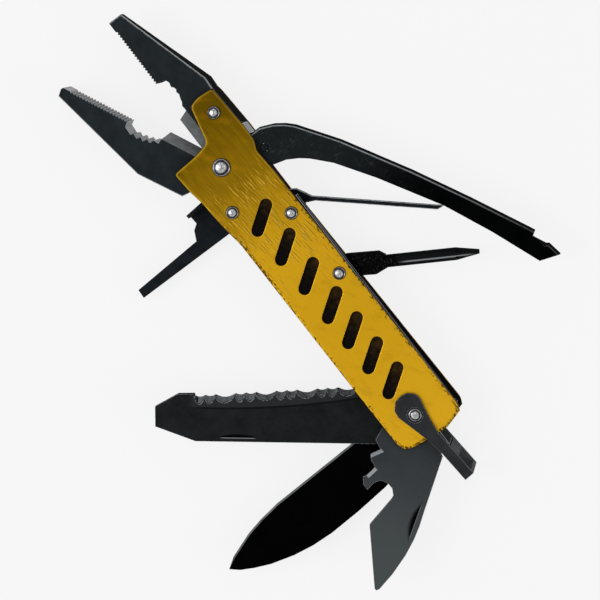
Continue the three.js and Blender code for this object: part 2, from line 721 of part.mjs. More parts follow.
// Serrated blade with a flat driver tip. Its scallops are ground from the front only.
function serratedBlade() {
  const lineStartShare = -0.213;
  const lineEndShare = -0.413;
  const lineFarShare = 0.25;
  const smallShare = 0.25;
  const small = smallShare * scallopGroup;
  const pitches = [];
  for (let group = 0; group < scallopCount; group += 1) pitches.push(small, small, scallopGroup - 2 * small);
  const xStart = scallopStartShare * serratedReach;
  const edgeAt = (x) => {
    const along = (scallopStartShare - x / serratedReach) / (scallopStartShare - lineFarShare);
    return (lineStartShare + (lineEndShare - lineStartShare) * along) * serratedWidth;
  };
  const steps = 6;
  const scallops = (dipAt) => {
    const points = [];
    let x = xStart;
    for (const pitch of pitches) {
      for (let step = 0; step < steps; step += 1) {
        const along = x - (pitch * step) / steps;
        points.push([along, edgeAt(along) + dipAt(pitch, Math.sin((Math.PI * step) / steps))]);
      }
      x -= pitch;
    }
    return points;
  };
  const spineShares = [
    [0.119, 0.327], [0.122, 0.58], [0.845, 0.587], [1, 0.335], [1, -0.025], [0.912, -0.253],
    [0.849, -0.26],
  ];
  const heelShares = [[0.234, -0.41], [0.156, -0.42], [0.0885, -0.4]];
  const before = scaled(spineShares, serratedReach, serratedWidth);
  const after = [...scaled(heelShares, serratedReach, serratedWidth), ...tangArc(-65, -299)];
  const edgeDipShare = 0.16;
  const roundness = 0.7;
  const cuspLand = 0.16 * scallopDepth;
  const edge = scallops((pitch, depth) => pitch * edgeDipShare * depth);
  const hollows = scallops((pitch, depth) => cuspLand + scallopDepth * depth ** roundness);
  const full = [...before, ...edge, ...after];
  const edgeLevel = serratedLow + bladeThickness / 3;
  const levels = [
    { points: full, level: serratedLow },
    { points: full, level: edgeLevel },
    { points: [...before, ...hollows, ...after], level: serratedHigh },
  ];
  return bore(loft(levels), ownPivot, tailPinRadius);
}

// Spear point knife blade, ground on both faces along its inner edge
function knifeBlade() {
  const edgeShares = [
    [0.18, -0.257], [0.301, -0.257], [0.49, -0.257], [0.68, -0.257], [0.771, -0.217], [0.847, -0.158],
    [0.955, -0.007], [1, 0.118],
  ];
  const spineShares = [
    [0.967, 0.25], [0.915, 0.38], [0.852, 0.507], [0.756, 0.638], [0.67, 0.71], [0.579, 0.743],
    [0.44, 0.735], [0.293, 0.697], [0.12, 0.566], [0.115, 0.322],
  ];
  const full = [
    ...scaled(edgeShares, knifeReach, knifeWidth),
    ...scaled(spineShares, knifeReach, knifeWidth),
    ...tangArc(61, 300),
  ];
  const face = ground(full, 0, edgeShares.length - 1, knifeBevel);
  const middle = (knifeLow + knifeHigh) / 2;
  const levels = [
    { points: face, level: knifeLow },
    { points: full, level: middle },
    { points: face, level: knifeHigh },
  ];
  return bore(loft(levels), ownPivot, tailPinRadius);
}

// Can and bottle opener with two wrench notches and a pointed tip
function canOpener() {
  const outlineShares = [
    [0.109, -0.399], [0.185, -0.461], [0.226, -0.383], [0.235, -0.373], [0.261, -0.461],
    [0.272, -0.492], [0.3, -0.466], [0.323, -0.415], [0.335, -0.394], [0.395, -0.497],
    [0.397, -0.528], [0.44, -0.503], [0.465, -0.435], [0.418, -0.363], [0.399, -0.29],
    [0.403, -0.192], [0.428, -0.109], [0.467, -0.073], [0.494, -0.098], [0.652, -0.311],
    [0.796, -0.207], [0.992, -0.067], [1, -0.041], [0.988, 0], [0.889, 0.135], [0.774, 0.254],
    [0.683, 0.321], [0.603, 0.358], [0.523, 0.378], [0.383, 0.42], [0.206, 0.472], [0.12, 0.31],
  ];
  const outline = [...scaled(outlineShares, openerReach, openerWidth), ...tangArc(60, 300)];
  return bore(plate(outline, openerLow, openerHigh), ownPivot, tailPinRadius);
}

// Flat driver on the blade side, with a thumb flange bent up from its plate
function flatDriver() {
  const outlineShares = [
    [-0.05, -0.33], [0.138, -0.585], [0.293, -0.585], [0.359, -0.427], [0.401, -0.122], [0.991, -0.195],
    [1, 0.11], [0.141, 0.415], [0.02, 0.36], [-0.06, 0.27], [-0.08, 0],
  ];
  const outline = scaled(outlineShares, flatDriverReach, flatDriverWidth);
  const flangeLow = [0.15 * flatDriverReach, -0.93 * flatDriverWidth];
  const flangeHigh = [0.31 * flatDriverReach, -0.55 * flatDriverWidth];
  const lip = 0.12 * flatDriverWidth;
  const lipRise = 0.45 * flatDriverWidth;
  const body = plate(outline, flatDriverLow, flatDriverHigh)
    .add(block(flangeLow, flangeHigh, flatDriverLow, flatDriverHigh))
    .add(block(flangeLow, [flangeHigh[0], flangeLow[1] + lip], flatDriverLow, flatDriverHigh + lipRise));
  return bore(body, ownPivot, toolPinRadius);
}

// Cross-point driver: a flat tang, a round shank and a pointed tip with four flutes
function crossDriver() {
  const tangShares = [
    [0.117, 0.661], [0.833, 0.629], [0.975, 0.452], [0.983, -0.113], [0.733, -0.339], [0.4, -0.323],
  ];
  const eye = toolWasherRadius + slideGap;
  const tang = plate([[0, eye], ...scaled(tangShares, crossTangLength, crossTangWidth), [0, -eye]],
    crossDriverLow, crossDriverLow + crossTangThickness);
  const eyeDisc = disc([0, 0], eye, crossDriverLow, crossDriverLow + crossTangThickness);
  const radius = shankDiameter / 2;
  const startShare = 0.88;
  const tipShare = 0.17;
  const tipRadiusShare = 0.35;
  const centre = 0.17 * crossTangWidth;
  const start = startShare * crossTangLength;
  const coneStart = crossDriverReach * (1 - tipShare);
  const tipRadius = radius * tipRadiusShare;
  const profile = [
    [0, start], [radius, start], [radius, coneStart], [tipRadius, crossDriverReach], [0, crossDriverReach],
  ].map(([r, along]) => new THREE.Vector2(r, along));
  const shankSides = 24;
  const geometry = new THREE.LatheGeometry(profile, shankSides);
  geometry.rotateZ(turn(-90));
  geometry.translate(0, centre, shankLevel);
  let shank = solidOf(geometry);
  const flutes = 4;
  const grooveSides = 4;
  const nearShare = 0.4;
  const farShare = 0.55;
  const grooveLength = 2 * tipShare * crossDriverReach;
  for (let flute = 0; flute < flutes; flute += 1) {
    const angle = 360 / flutes;
    const [farRadius, nearRadius] = [radius * farShare, radius * nearShare];
    const groove = new THREE.CylinderGeometry(farRadius, nearRadius, grooveLength, grooveSides);
    groove.rotateZ(turn(90));
    groove.translate(crossDriverReach, radius, 0);
    groove.rotateX(turn(angle * (flute + 1 / 2)));
    groove.translate(0, centre, shankLevel);
    shank = shank.subtract(solidOf(groove));
  }
  return bore(tang.add(eyeDisc).add(shank), ownPivot, toolPinRadius);
}

// Cranked awl
function awl() {
  const outlineShares = [
    [-0.064, 0.929], [-0.01, 1], [0.051, 0.839], [0.1, 0.696], [0.995, 0.661], [0.954, 0.446],
    [0.895, 0.446], [0.128, 0.482], [0.062, 0.35],
  ];
  const eye = toolWasherRadius + slideGap;
  const outline = [[-eye, 0], ...scaled(outlineShares, awlReach, awlOffset), [eye, 0]];
  const solid = plate(outline, awlLow, awlHigh).add(disc(ownPivot, eye, awlLow, awlHigh));
  return bore(solid, ownPivot, toolPinRadius);
}

// Bail: two arms over the covers, a short web at one side and a bridge that hooks over the lever
function bail() {
  const armShares = [
    [-0.277, -0.41], [-0.291, 0.103], [-0.268, 0.564], [-0.207, 0.897], [-0.127, 1], [-0.042, 0.872],
    [0.169, 0.564], [0.343, 0.385], [0.531, 0.385], [1, 0.385], [1, -0.333], [0.592, -0.333],
    [0.329, -0.462], [0.122, -0.692], [-0.108, -0.949], [-0.202, -0.846],
  ];
  const arm = scaled(armShares, bailReach, bailHalfWidth);
  const edge = 0.385 * bailHalfWidth;
  const heel = -0.333 * bailHalfWidth;
  const webEndShare = 0.72;
  const webStart = bailWebShare * bailReach;
  const web = block([webStart, edge - bailSheet], [webEndShare * bailReach, edge], 0, topLevel);
  const bridge = block([bailReach - bailSheet, heel], [bailReach, edge], 0, topLevel);
  let solid = plate(arm, 0, bailSheet).add(plate(arm, topLevel - bailSheet, topLevel)).add(web).add(bridge);
  solid = solid.subtract(disc([0, 0], bailRecessRadius, -overrun, bailRecessDepth));
  solid = solid.subtract(disc([0, 0], bailRecessRadius, topLevel - bailRecessDepth, topLevel + overrun));
  return bore(solid, ownPivot, tailPinRadius);
}

piece(toolGroup(tailPivot, serratedAngle), 'serrated_blade', serratedBlade(), blackSteel);
piece(toolGroup(tailPivot, knifeAngle), 'knife_blade', knifeBlade(), blackSteel);
piece(toolGroup(tailPivot, openerAngle), 'can_opener', canOpener(), greySteel);
piece(toolGroup(flatDriverPivot, flatDriverAngle), 'flat_driver', flatDriver(), blackSteel);
piece(toolGroup(crossDriverPivot, crossDriverAngle), 'cross_driver', crossDriver(), blackSteel);
piece(toolGroup(awlPivot, awlAngle), 'awl', awl(), blackSteel);
piece(toolGroup(tailPivot, bailAngle), 'bail', bail(), blackSteel);

export default root;
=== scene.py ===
"""A folding multi tool that lies open on a pale floor: gold covers, black steel tools."""
import json
import math

import bmesh
import bpy
import numpy as np
from mathutils import Matrix, Vector
from mathutils.geometry import tessellate_polygon

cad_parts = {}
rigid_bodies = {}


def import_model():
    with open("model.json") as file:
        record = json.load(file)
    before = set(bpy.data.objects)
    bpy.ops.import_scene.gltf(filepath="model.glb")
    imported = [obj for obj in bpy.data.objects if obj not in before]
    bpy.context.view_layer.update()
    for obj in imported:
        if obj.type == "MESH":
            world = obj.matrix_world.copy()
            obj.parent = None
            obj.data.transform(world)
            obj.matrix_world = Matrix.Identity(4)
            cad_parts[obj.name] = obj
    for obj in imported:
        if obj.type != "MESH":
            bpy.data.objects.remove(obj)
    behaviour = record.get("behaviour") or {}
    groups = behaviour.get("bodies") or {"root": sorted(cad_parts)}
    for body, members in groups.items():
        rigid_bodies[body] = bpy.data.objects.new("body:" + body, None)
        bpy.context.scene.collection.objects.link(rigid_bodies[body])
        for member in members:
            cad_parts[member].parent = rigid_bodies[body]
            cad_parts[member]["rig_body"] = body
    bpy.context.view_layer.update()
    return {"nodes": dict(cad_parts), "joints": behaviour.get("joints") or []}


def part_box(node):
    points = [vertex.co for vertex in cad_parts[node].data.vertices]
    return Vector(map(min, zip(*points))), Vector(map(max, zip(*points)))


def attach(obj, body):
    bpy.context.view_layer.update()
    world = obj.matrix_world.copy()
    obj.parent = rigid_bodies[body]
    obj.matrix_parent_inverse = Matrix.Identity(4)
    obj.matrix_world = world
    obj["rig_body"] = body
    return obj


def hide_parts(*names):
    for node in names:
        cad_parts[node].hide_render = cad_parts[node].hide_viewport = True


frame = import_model()
MM = 0.001


# Liners
# Two blackened steel plates that the covers lie on. They are stamped from sheet, drilled for
# the six rivets and tumbled, so that their edges are slightly round.

def display(red, green, blue):
    """Display colour, 0 to 255, as the linear colour that a shader takes."""
    share = np.array((red, green, blue)) / 255
    linear = np.where(share <= 0.04045, share / 12.92, ((share + 0.055) / 1.055) ** 2.4)
    return (*linear.tolist(), 1.0)


class Shade:
    """A socket in a material. Sums and products of it add Math nodes."""

    def __init__(self, tree, socket=None):
        self.tree = tree
        self.socket = socket

    def node(self, kind, settings=None, sockets=None, output=0):
        """Adds one node: its type, its settings, then the values or links of its sockets."""
        node = self.tree.nodes.new("ShaderNode" + kind)
        for name, value in (settings or {}).items():
            setattr(node, name, value)
        for name, value in (sockets or {}).items():
            if isinstance(value, Shade):
                self.tree.links.new(value.socket, node.inputs[name])
            else:
                node.inputs[name].default_value = value
        return Shade(self.tree, node.outputs[output])

    def math(self, operation, first, second=0.0):
        """Adds a Math node."""
        return self.node("Math", {"operation": operation}, {0: first, 1: second})

    def __add__(self, other):
        return self.math("ADD", self, other)

    __radd__ = __add__

    def __sub__(self, other):
        return self.math("SUBTRACT", self, other)

    def __rsub__(self, other):
        return self.math("SUBTRACT", other, self)

    def __mul__(self, other):
        return self.math("MULTIPLY", self, other)

    __rmul__ = __mul__

    def __truediv__(self, other):
        return self.math("DIVIDE", self, other)

    def __abs__(self):
        return self.math("ABSOLUTE", self)

    def over(self, low, high):
        """0 below low, 1 above high, and a smooth step between."""
        settings = {"interpolation_type": "SMOOTHSTEP"}
        return self.node("MapRange", settings, {"Value": self, "From Min": low, "From Max": high})

    def mix(self, first, second):
        """First colour where this value is 0, second where it is 1. Each is a socket or a display
        colour."""
        colours = [value if isinstance(value, Shade) else display(*value) for value in (first, second)]
        settings = {"data_type": "RGBA", "clamp_factor": True}
        return self.node("Mix", settings, {0: self, 6: colours[0], 7: colours[1]}, 2)

    def ramp(self, stops):
        """Colour that runs through stops, each a value and a display colour."""
        ramp = self.node("ValToRGB", None, {"Fac": self})
        elements = ramp.socket.node.color_ramp.elements
        while len(elements) < len(stops):
            elements.new(0.5)
        for element, (value, colour) in zip(elements, stops):
            element.position = value
            element.color = display(*colour)
        return ramp

    def part(self, axis):
        """X, Y or Z of a vector."""
        return self.node("SeparateXYZ", None, {"Vector": self}, "XYZ".index(axis))


def finish(name, grazing=None, metallic=1.0):
    """New material, its Principled shader and a place to build from. Bare metal reflects a colour
    of its own at a grazing angle. Without one it is a black coating: matt, under a thin gloss."""
    material = bpy.data.materials.new(name)
    material.use_nodes = True
    shader = material.node_tree.nodes["Principled BSDF"]
    if grazing:
        shader.inputs["Metallic"].default_value = metallic
        shader.inputs["Specular Tint"].default_value = display(*grazing)
    else:
        shader.inputs["Specular IOR Level"].default_value = 0
        shader.inputs["Coat Weight"].default_value = 0.06
        shader.inputs["Coat Roughness"].default_value = 0.28
    return material, shader, Shade(material.node_tree)


def connect(shader, name, value):
    """Links a shader socket that varies over the surface."""
    value.tree.links.new(value.socket, shader.inputs[name])


def placed(start, turned=0, stretch=(1, 1, 1), centre=(0, 0)):
    """Object coordinates about a centre, turned round Z by some degrees, then stretched."""
    place = start.node("TexCoord", None, None, "Object")
    moved = start.node("VectorMath", {"operation": "SUBTRACT"}, {0: place, 1: (*centre, 0)})
    settings = {"rotation_type": "EULER_XYZ"}
    spin = {"Vector": moved, "Rotation": (0, 0, -math.radians(turned))}
    own = start.node("VectorRotate", settings, spin)
    return start.node("VectorMath", {"operation": "MULTIPLY"}, {0: own, 1: stretch})


def noise(place, size, detail=3.0, roughness=0.55):
    """Noise between about 0 and 1 whose features are of that size in metres."""
    sockets = {"Vector": place, "Scale": 1 / size, "Detail": detail, "Roughness": roughness}
    return place.node("TexNoise", None, sockets)


def flatness(start):
    """1 where the surface looks straight up or down, 0 where it is upright: |Z| of its normal."""
    return abs(start.node("NewGeometry", None, None, "Normal").part("Z"))


def worn(name, coat, metal, amount=0.5, size=0.6 * MM, roughness=0.35):
    """Rounded edge where the coating is rubbed off in patches down to brighter metal."""
    material, shader, start = finish(name)
    patches = noise(placed(start), size, detail=4.0, roughness=0.65)
    rubbed = patches.over(0.62 - 0.4 * amount, 0.72 - 0.25 * amount)
    connect(shader, "Base Color", rubbed.mix(coat, metal))
    connect(shader, "Metallic", rubbed * 0.4)
    shader.inputs["Roughness"].default_value = roughness
    return material


def field(items, name, width, kind=float):
    """One property of all of a mesh's items as an array."""
    values = np.zeros(len(items) * width, kind)
    items.foreach_get(name, values)
    return values.reshape(-1, width) if width > 1 else values


def mark(mesh, name, domain, values):
    """Stores one number for each point or edge."""
    attribute = mesh.attributes.get(name) or mesh.attributes.new(name, "FLOAT", domain)
    attribute.data.foreach_set("value", values.astype(np.float32))


def edge_faces(mesh):
    """The two faces at each edge, as an array. It sorts the face corners by their edge."""
    edges = field(mesh.loops, "edge_index", 1, int)
    sizes = field(mesh.polygons, "loop_total", 1, int)
    faces = np.repeat(np.arange(len(sizes)), sizes)
    return faces[np.argsort(edges, kind="stable")].reshape(-1, 2)


def edge_bend(mesh, faces):
    """Angle in degrees between the normals of each edge's two faces."""
    normals = field(mesh.polygons, "normal", 3)
    cosine = (normals[faces[:, 0]] * normals[faces[:, 1]]).sum(1)
    return np.degrees(np.arccos(np.clip(cosine, -1, 1)))


def rotation(degrees):
    """Matrix that turns a column vector round Z."""
    cosine, sine = math.cos(math.radians(degrees)), math.sin(math.radians(degrees))
    return np.array([[cosine, -sine, 0], [sine, cosine, 0], [0, 0, 1]])


def own_axes(points, pivot, stand):
    """Points or normals in a tool's own axes: X from its pivot along it, Y across, Z up."""
    return (points - np.array((*pivot, 0))) @ rotation(stand)


def linked(name, data):
    """New object of the scene."""
    holder = bpy.data.objects.new(name, data)
    bpy.context.scene.collection.objects.link(holder)
    return holder


def merged(solid):
    """Copy of a CAD solid's mesh with its points joined and its flat faces merged."""
    mesh = solid.data.copy()
    shell = bmesh.new()
    shell.from_mesh(mesh)
    bmesh.ops.remove_doubles(shell, verts=shell.verts, dist=0.0005 * MM)
    bmesh.ops.dissolve_limit(shell, angle_limit=math.radians(0.5), verts=shell.verts, edges=shell.edges)
    shell.to_mesh(mesh)
    shell.free()
    mesh.materials.clear()
    mesh.polygons.foreach_set("material_index", np.zeros(len(mesh.polygons), np.int32))
    return mesh


def cut_out(piece, cutter):
    """Applies a piece's modifiers, takes a cutter out of it and marks anew which edges are sharp."""
    cut_bend = 50
    cut = piece.modifiers.new("nick", "BOOLEAN")
    cut.object = cutter
    cut.solver = "EXACT"
    graph = bpy.context.evaluated_depsgraph_get()
    mesh = bpy.data.meshes.new_from_object(piece.evaluated_get(graph))
    piece.modifiers.clear()
    piece.data = mesh
    bpy.data.objects.remove(cutter)
    bend = edge_bend(mesh, edge_faces(mesh))
    mesh.attributes["sharp_edge"].data.foreach_set("value", bend > cut_bend)


def machined(node, materials, width=0.12, segments=2, pivot=(0, 0), stand=0, bare=None,
             chamfer=None, chamfer_width=0.4, chamfer_steps=1, cutter=None):
    """A CAD solid with its edges broken. Faces that bare picks get the third material, edges that
    chamfer picks a wide bevel of the last one, and all other sharp edges a narrow round bevel of
    the second. Both pick by middles in mm and by normals, in the tool's own axes: bare by each
    face's normal, chamfer by the least and the most of the normals of an edge's two faces."""
    broad_area = 12 * MM * MM
    broad_bend = 1.5
    chamfer_bend = 15
    round_bend = 28
    solid = frame["nodes"][node]
    body = solid["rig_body"]
    mesh = merged(solid)
    piece = linked(node + "_finished", mesh)
    for material in materials:
        mesh.materials.append(material)
    faces = edge_faces(mesh)
    bend = edge_bend(mesh, faces)
    areas = field(mesh.polygons, "area", 1)
    # Between two broad faces even a faint bend stays crisp.
    sharp = (bend > broad_bend) & (areas[faces].min(1) > broad_area)
    attribute = mesh.attributes.new("sharp_edge", "BOOLEAN", "EDGE")
    attribute.data.foreach_set("value", sharp)
    normals = own_axes(field(mesh.polygons, "normal", 3), (0, 0), stand)
    if bare:
        centres = own_axes(field(mesh.polygons, "center", 3), pivot, stand) / MM
        picked = np.where(bare(centres, normals), 2, 0)
        mesh.polygons.foreach_set("material_index", picked.astype(np.int32))
    if chamfer:
        ends = field(mesh.edges, "vertices", 2, np.int32)
        middles = field(mesh.vertices, "co", 3)[ends].mean(1)
        both = normals[faces]
        chosen = chamfer(own_axes(middles, pivot, stand) / MM, both.min(1), both.max(1))
        mark(mesh, "bevel_weight_edge", "EDGE", chosen & (bend > chamfer_bend))
        wide = piece.modifiers.new("chamfer", "BEVEL")
        wide.limit_method = "WEIGHT"
        wide.width = chamfer_width * MM
        wide.segments = chamfer_steps
        wide.material = len(materials) - 1
        wide.use_clamp_overlap = False
        wide.loop_slide = False
    mesh.polygons.foreach_set("use_smooth", np.ones(len(mesh.polygons), bool))
    rounded = piece.modifiers.new("edges", "BEVEL")
    rounded.limit_method = "ANGLE"
    rounded.angle_limit = math.radians(round_bend)
    rounded.width = width * MM
    rounded.segments = segments
    rounded.material = 1
    rounded.miter_outer = "MITER_ARC"
    if cutter:
        cut_out(piece, cutter)
    smooth = piece.modifiers.new("normals", "WEIGHTED_NORMAL")
    smooth.keep_sharp = True
    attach(piece, body)
    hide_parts(node)
    return piece


def liner_finish():
    """Black steel. Its broad faces, which show in the slots of the covers, carry painted light and shade:
    mottled brown where light falls in through the slots, fading to black, painted shadow, towards the blade
    side."""
    material, shader, start = finish("liner_black")
    place = placed(start)
    across = place.part("Y")
    liner_mottle = noise(place, 1.2 * MM, detail=4.0, roughness=0.65)
    low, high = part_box("front_cover")
    # Painted light and shade: brown where light falls in through the slots, fading to painted shadow
    # towards the blade side.
    fade = ((low.y + high.y) / 2 + 3.2 * MM - across) / (10 * MM) + (liner_mottle - 0.5) * 1.5
    brown = fade.ramp([(0.3, (7, 4, 3)), (0.6, (25, 16, 4)), (0.9, (44, 30, 7))])
    inside = across.over(low.y + 1.5 * MM, low.y + 3 * MM)
    broad = flatness(start).over(0.9, 0.98) * inside
    connect(shader, "Base Color", broad.mix((13, 13, 14), brown))
    connect(shader, "Roughness", liner_mottle * 0.3 + 0.3)
    return material


liner_edge = worn("liner_edge", (34, 36, 38), (86, 89, 92), amount=0.9)
liner_black = liner_finish()
for name in ("rear_liner", "front_liner"):
    liner = machined(name, (liner_black, liner_edge), width=0.13)


# Washers and spacers
# Bare steel rings that hold each blade and each driver in its own layer on its rivet. They are
# punched and tumbled, and show only as thin bright lines between the tangs.

def bump(shader, height, strength, distance):
    """Links a relief: a height from 0 to 1 of some distance in metres."""
    sockets = {"Strength": strength, "Distance": distance, "Height": height}
    connect(shader, "Normal", height.node("Bump", None, sockets))


def steel(name, dark, light, roughness=0.4, cloud=4 * MM, grain=0.25 * MM, relief=0.15, turned=0,
          stretch=(1, 1, 1), grazing=None, metallic=1.0, gloss=0.05, marks=None):
    """Steel, coated black or bare. A cloudy noise runs its colour between two shades, and a fine
    noise, drawn out along the brushing direction, gives its gloss and relief. The marks of its own
    piece come over that."""
    material, shader, start = finish(name, grazing, metallic)
    along = placed(start, turned, stretch)
    clouds = noise(placed(start), cloud)
    fine = noise(along, grain, detail=2.0)
    blend = (clouds - 0.5) * 1.6 + (fine - 0.5) * 0.7 + 0.5
    colour = blend.mix(dark, light)
    if marks:
        colour = marks(start, colour)
    connect(shader, "Base Color", colour)
    connect(shader, "Roughness", fine * 0.2 + (roughness - 0.1))
    if not grazing:
        connect(shader, "Coat Weight", fine * gloss + 0.5 * gloss)
        shader.inputs["Coat Roughness"].default_value = roughness * 0.7
    bump(shader, fine, relief, 0.02 * MM)
    return material


washer_steel = steel("washer_steel", (120, 121, 122), (168, 168, 169), roughness=0.34,
                     grazing=(205, 205, 206))
washer_edge = worn("washer_edge", (130, 131, 132), (205, 205, 206), amount=0.7)
for name in frame["nodes"]:
    if name.endswith("_washer"):
        ring = machined(name, (washer_steel, washer_edge), width=0.06)


# Back springs
# Two blackened bars along the lever side that press on the tangs and hold each tool open or
# folded. They are blanked from spring steel and held by the awl's and the cross driver's rivets.

spring_steel = steel("spring_black", (8, 9, 10), (26, 28, 31), roughness=0.34, cloud=3 * MM,
                     stretch=(0.08, 1, 1))
spring_edge = worn("spring_edge", (92, 95, 98), (132, 135, 139), amount=1.0, size=1.2 * MM)
for name, slot in (("rear_back_spring", "grey_steel"), ("front_back_spring", "black_steel")):
    bar = machined(name, (spring_steel, spring_edge), width=0.15)


# Spacers at the two ends of the handle
# The head spacer is a bare ground block that stops the lever. The tail spacer is a dark block
# with a lip that stops the open blades. Both are held between the liners.

spacer_steel = steel("spacer_bare", (112, 114, 115), (150, 151, 152), roughness=0.36, cloud=2 * MM,
                     stretch=(1, 1, 0.1), grazing=(200, 201, 202), metallic=0.6)
spacer_edge = worn("spacer_edge", (120, 121, 122), (210, 210, 211), amount=0.8)
machined("head_spacer", (spacer_steel, spacer_edge), width=0.2)
tail_steel = steel("tail_spacer_dark", (10, 11, 12), (24, 26, 28))
machined("tail_spacer", (tail_steel, spring_edge), width=0.15)


# Upper jaw
# Forged steel, blackened, with cut teeth, a pipe grip and a ground cutter edge that stays bare.
# It is fixed between the liners by two rivets. A chamfer runs along its back.

def within(values, low, high):
    """True for the values between two limits."""
    return (values > low) & (values < high)


def upper_bare(centre, normal):
    """The cutter's ground front and its edge."""
    x, y, z = centre.T
    return within(x, 5, 17) & (y > -1.7) & within(z, 4, 7.6) & (normal[:, 2] > -0.5)


def upper_back(middle, least, most):
    """The front edge of the jaw's back and tip."""
    x = middle[:, 0]
    tip = (most[:, 0] > 0.8) & (x > 44)
    return (most[:, 2] > 0.9) & ((least[:, 1] < -0.5) | tip) & (x > 6)


def painted_side_shade(start, colour):
    """Painted shade: full black on the sides, where the surface stands upright."""
    return flatness(start).over(0.4, 0.8).mix((2, 2, 3), colour)


black_worn = worn("black_edge", (20, 22, 24), (96, 99, 101), amount=0.55)
# Its upright sides get painted shade, full black.
jaw_steel = steel("jaw_black", (20, 24, 26), (33, 38, 41), roughness=0.42, cloud=5 * MM,
                  grain=0.2 * MM, relief=0.25, gloss=0.03, marks=painted_side_shade)
# The chamfer along the jaws' backs is pale: worn steel, and a painted highlight line.
jaw_chamfer = worn("jaw_chamfer", (88, 92, 95), (146, 150, 153), amount=0.8, size=0.5 * MM)
upper_ground = steel("upper_ground", (62, 65, 66), (98, 101, 102), cloud=2.5 * MM, grain=0.2 * MM,
                     relief=0.2, turned=60, stretch=(0.2, 1, 1), grazing=(170, 172, 173), metallic=0.4)
upper = machined("upper_jaw", (jaw_steel, black_worn, upper_ground, jaw_chamfer), width=0.1,
                 bare=upper_bare, chamfer=upper_back, chamfer_width=0.35)


# Lower jaw and opening spring
# The moving jaw is forged and blackened like the upper one. Its tooth faces and its cutter are
# left bare by grinding. A flat coil round the pivot opens the pliers.

pliers_stand = 25.3


def lower_bare(centre, normal):
    """Faces that look at the upper jaw or the handle, and the cutter's slanted front. The flanks
    of the teeth that look at the tip stay black."""
    x, y = centre[:, 0], centre[:, 1]
    inner = (normal[:, 1] < -0.15) | ((normal[:, 0] < -0.9) & (x > 18))
    flank = (normal[:, 0] > 0.2) & within(x, 18, 45)
    return inner & (x > 7.5) & (y < 4.6) & (normal[:, 2] > -0.5) & ~flank


def lower_back(middle, least, most):
    """The front edge of the jaw's back."""
    return (most[:, 2] > 0.9) & (most[:, 1] > 0.5) & (middle[:, 0] > 5)


def tooth_valleys(start, colour):
    """Black in the valleys between the teeth."""
    own = placed(start, pliers_stand)
    along = own.part("X")
    toothed = along.over(27.8 * MM, 28 * MM) * (1 - along.over(44.2 * MM, 44.4 * MM))
    valley = own.part("Y").over(1 * MM, 1.16 * MM) * toothed
    return (valley * 0.9).mix(colour, (24, 27, 29))


lower_ground = steel("lower_ground", (102, 105, 107), (148, 151, 153), cloud=1.5 * MM, grain=0.2 * MM,
                     relief=0.2, grazing=(205, 207, 209), metallic=0.3, marks=tooth_valleys)
lower = machined("lower_jaw", (jaw_steel, black_worn, lower_ground, jaw_chamfer), width=0.1,
                 stand=pliers_stand, bare=lower_bare, chamfer=lower_back, chamfer_width=0.22)
coil = machined("opening_spring", (washer_steel, washer_edge), width=0.08)


# Lever
# A channel folded from blackened sheet, so its outer bends are round. A pin ground flush ties it
# to the lower jaw's tang, and its notch near the tip takes the bail when the tool is shut.

pin_middle = sum(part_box("lever_tang_pin"), Vector()) / 2
pin_place = own_axes(np.array(pin_middle), (0, 0), pliers_stand) / MM


def lever_bends(middle, least, most):
    """The two outer bends of the channel, between its walls and its web."""
    wall = np.maximum(most[:, 2], -least[:, 2])
    from_pin = np.linalg.norm((middle - pin_place)[:, :2], axis=1)
    outer = (middle[:, 0] < 2) & (middle[:, 1] < -7) & (from_pin > 3)
    return (wall > 0.9) & (least[:, 1] < -0.25) & outer


def brush_marks(start, colour):
    """Short grey strokes across the lever near its root, where the black is paler too. Both thin
    out along it."""
    place = placed(start)
    strokes = noise(placed(start, turned=-88, stretch=(0.2, 1, 1)), 0.3 * MM)
    patches = noise(place, 4 * MM, detail=2.0)
    near = place.part("X").over(-46 * MM, -12 * MM)
    marked = (strokes + (patches - 0.5) * 0.6).over(0.56, 0.72) * near
    colour = (near * near * 0.8).mix(colour, (26, 29, 30))
    # Painted shade, full black, on the upright sides.
    return painted_side_shade(start, (marked * 0.4).mix(colour, (52, 56, 58)))


def bend_finish():
    """Round bend: a painted highlight in a thin line, broken into patches, just where it leaves the
    flat wall, black beyond. The line fades towards the lever's tip."""
    material, shader, start = finish("lever_bend")
    flat = flatness(start)
    place = placed(start)
    # Painted highlight: a pale line where the normal leans from the flat wall into the bend.
    line = flat.over(0.74, 0.86) * (1 - flat.over(0.965, 0.99))
    # Patches that break up the painted highlight.
    rubbed = noise(place, 0.7 * MM, detail=4.0, roughness=0.65).over(0.3, 0.55) * 0.5 + 0.5
    near = place.part("X").over(-66 * MM, -20 * MM) * 0.8 + 0.2
    connect(shader, "Base Color", (line * rubbed * near).mix((2, 2, 3), (118, 122, 124)))
    shader.inputs["Roughness"].default_value = 0.34
    return material


lever_steel = steel("lever_black", (0, 0, 0), (3, 4, 4), roughness=0.34, cloud=6 * MM,
                    grain=0.22 * MM, relief=0.3, turned=-88, stretch=(0.2, 1, 1), gloss=0.015,
                    marks=brush_marks)
lever_bend = bend_finish()
lever_edge = worn("lever_edge", (6, 7, 8), (44, 47, 49), amount=0.4)
lever = machined("lever_channel", (lever_steel, lever_edge, lever_bend), width=0.1, stand=pliers_stand,
                 chamfer=lever_bends, chamfer_width=0.75, chamfer_steps=6)
pin = machined("lever_tang_pin", (lever_steel, lever_steel), width=0.05)


# Blades
# Three blades of blackened steel turn on the tail rivet: a knife, a serrated blade whose
# scallops are ground bare from the front, and a can and bottle opener in a paler grey.

joints = {joint["name"]: joint for joint in frame["joints"]}
tail = joints["knife_fold"]["pos_m"][:2]
knife_stand = 92


def ground_edge(centre, normal):
    """The narrow slanted faces along the edge."""
    return within(abs(normal[:, 2]), 0.1, 0.97) & (normal[:, 1] < -0.2)


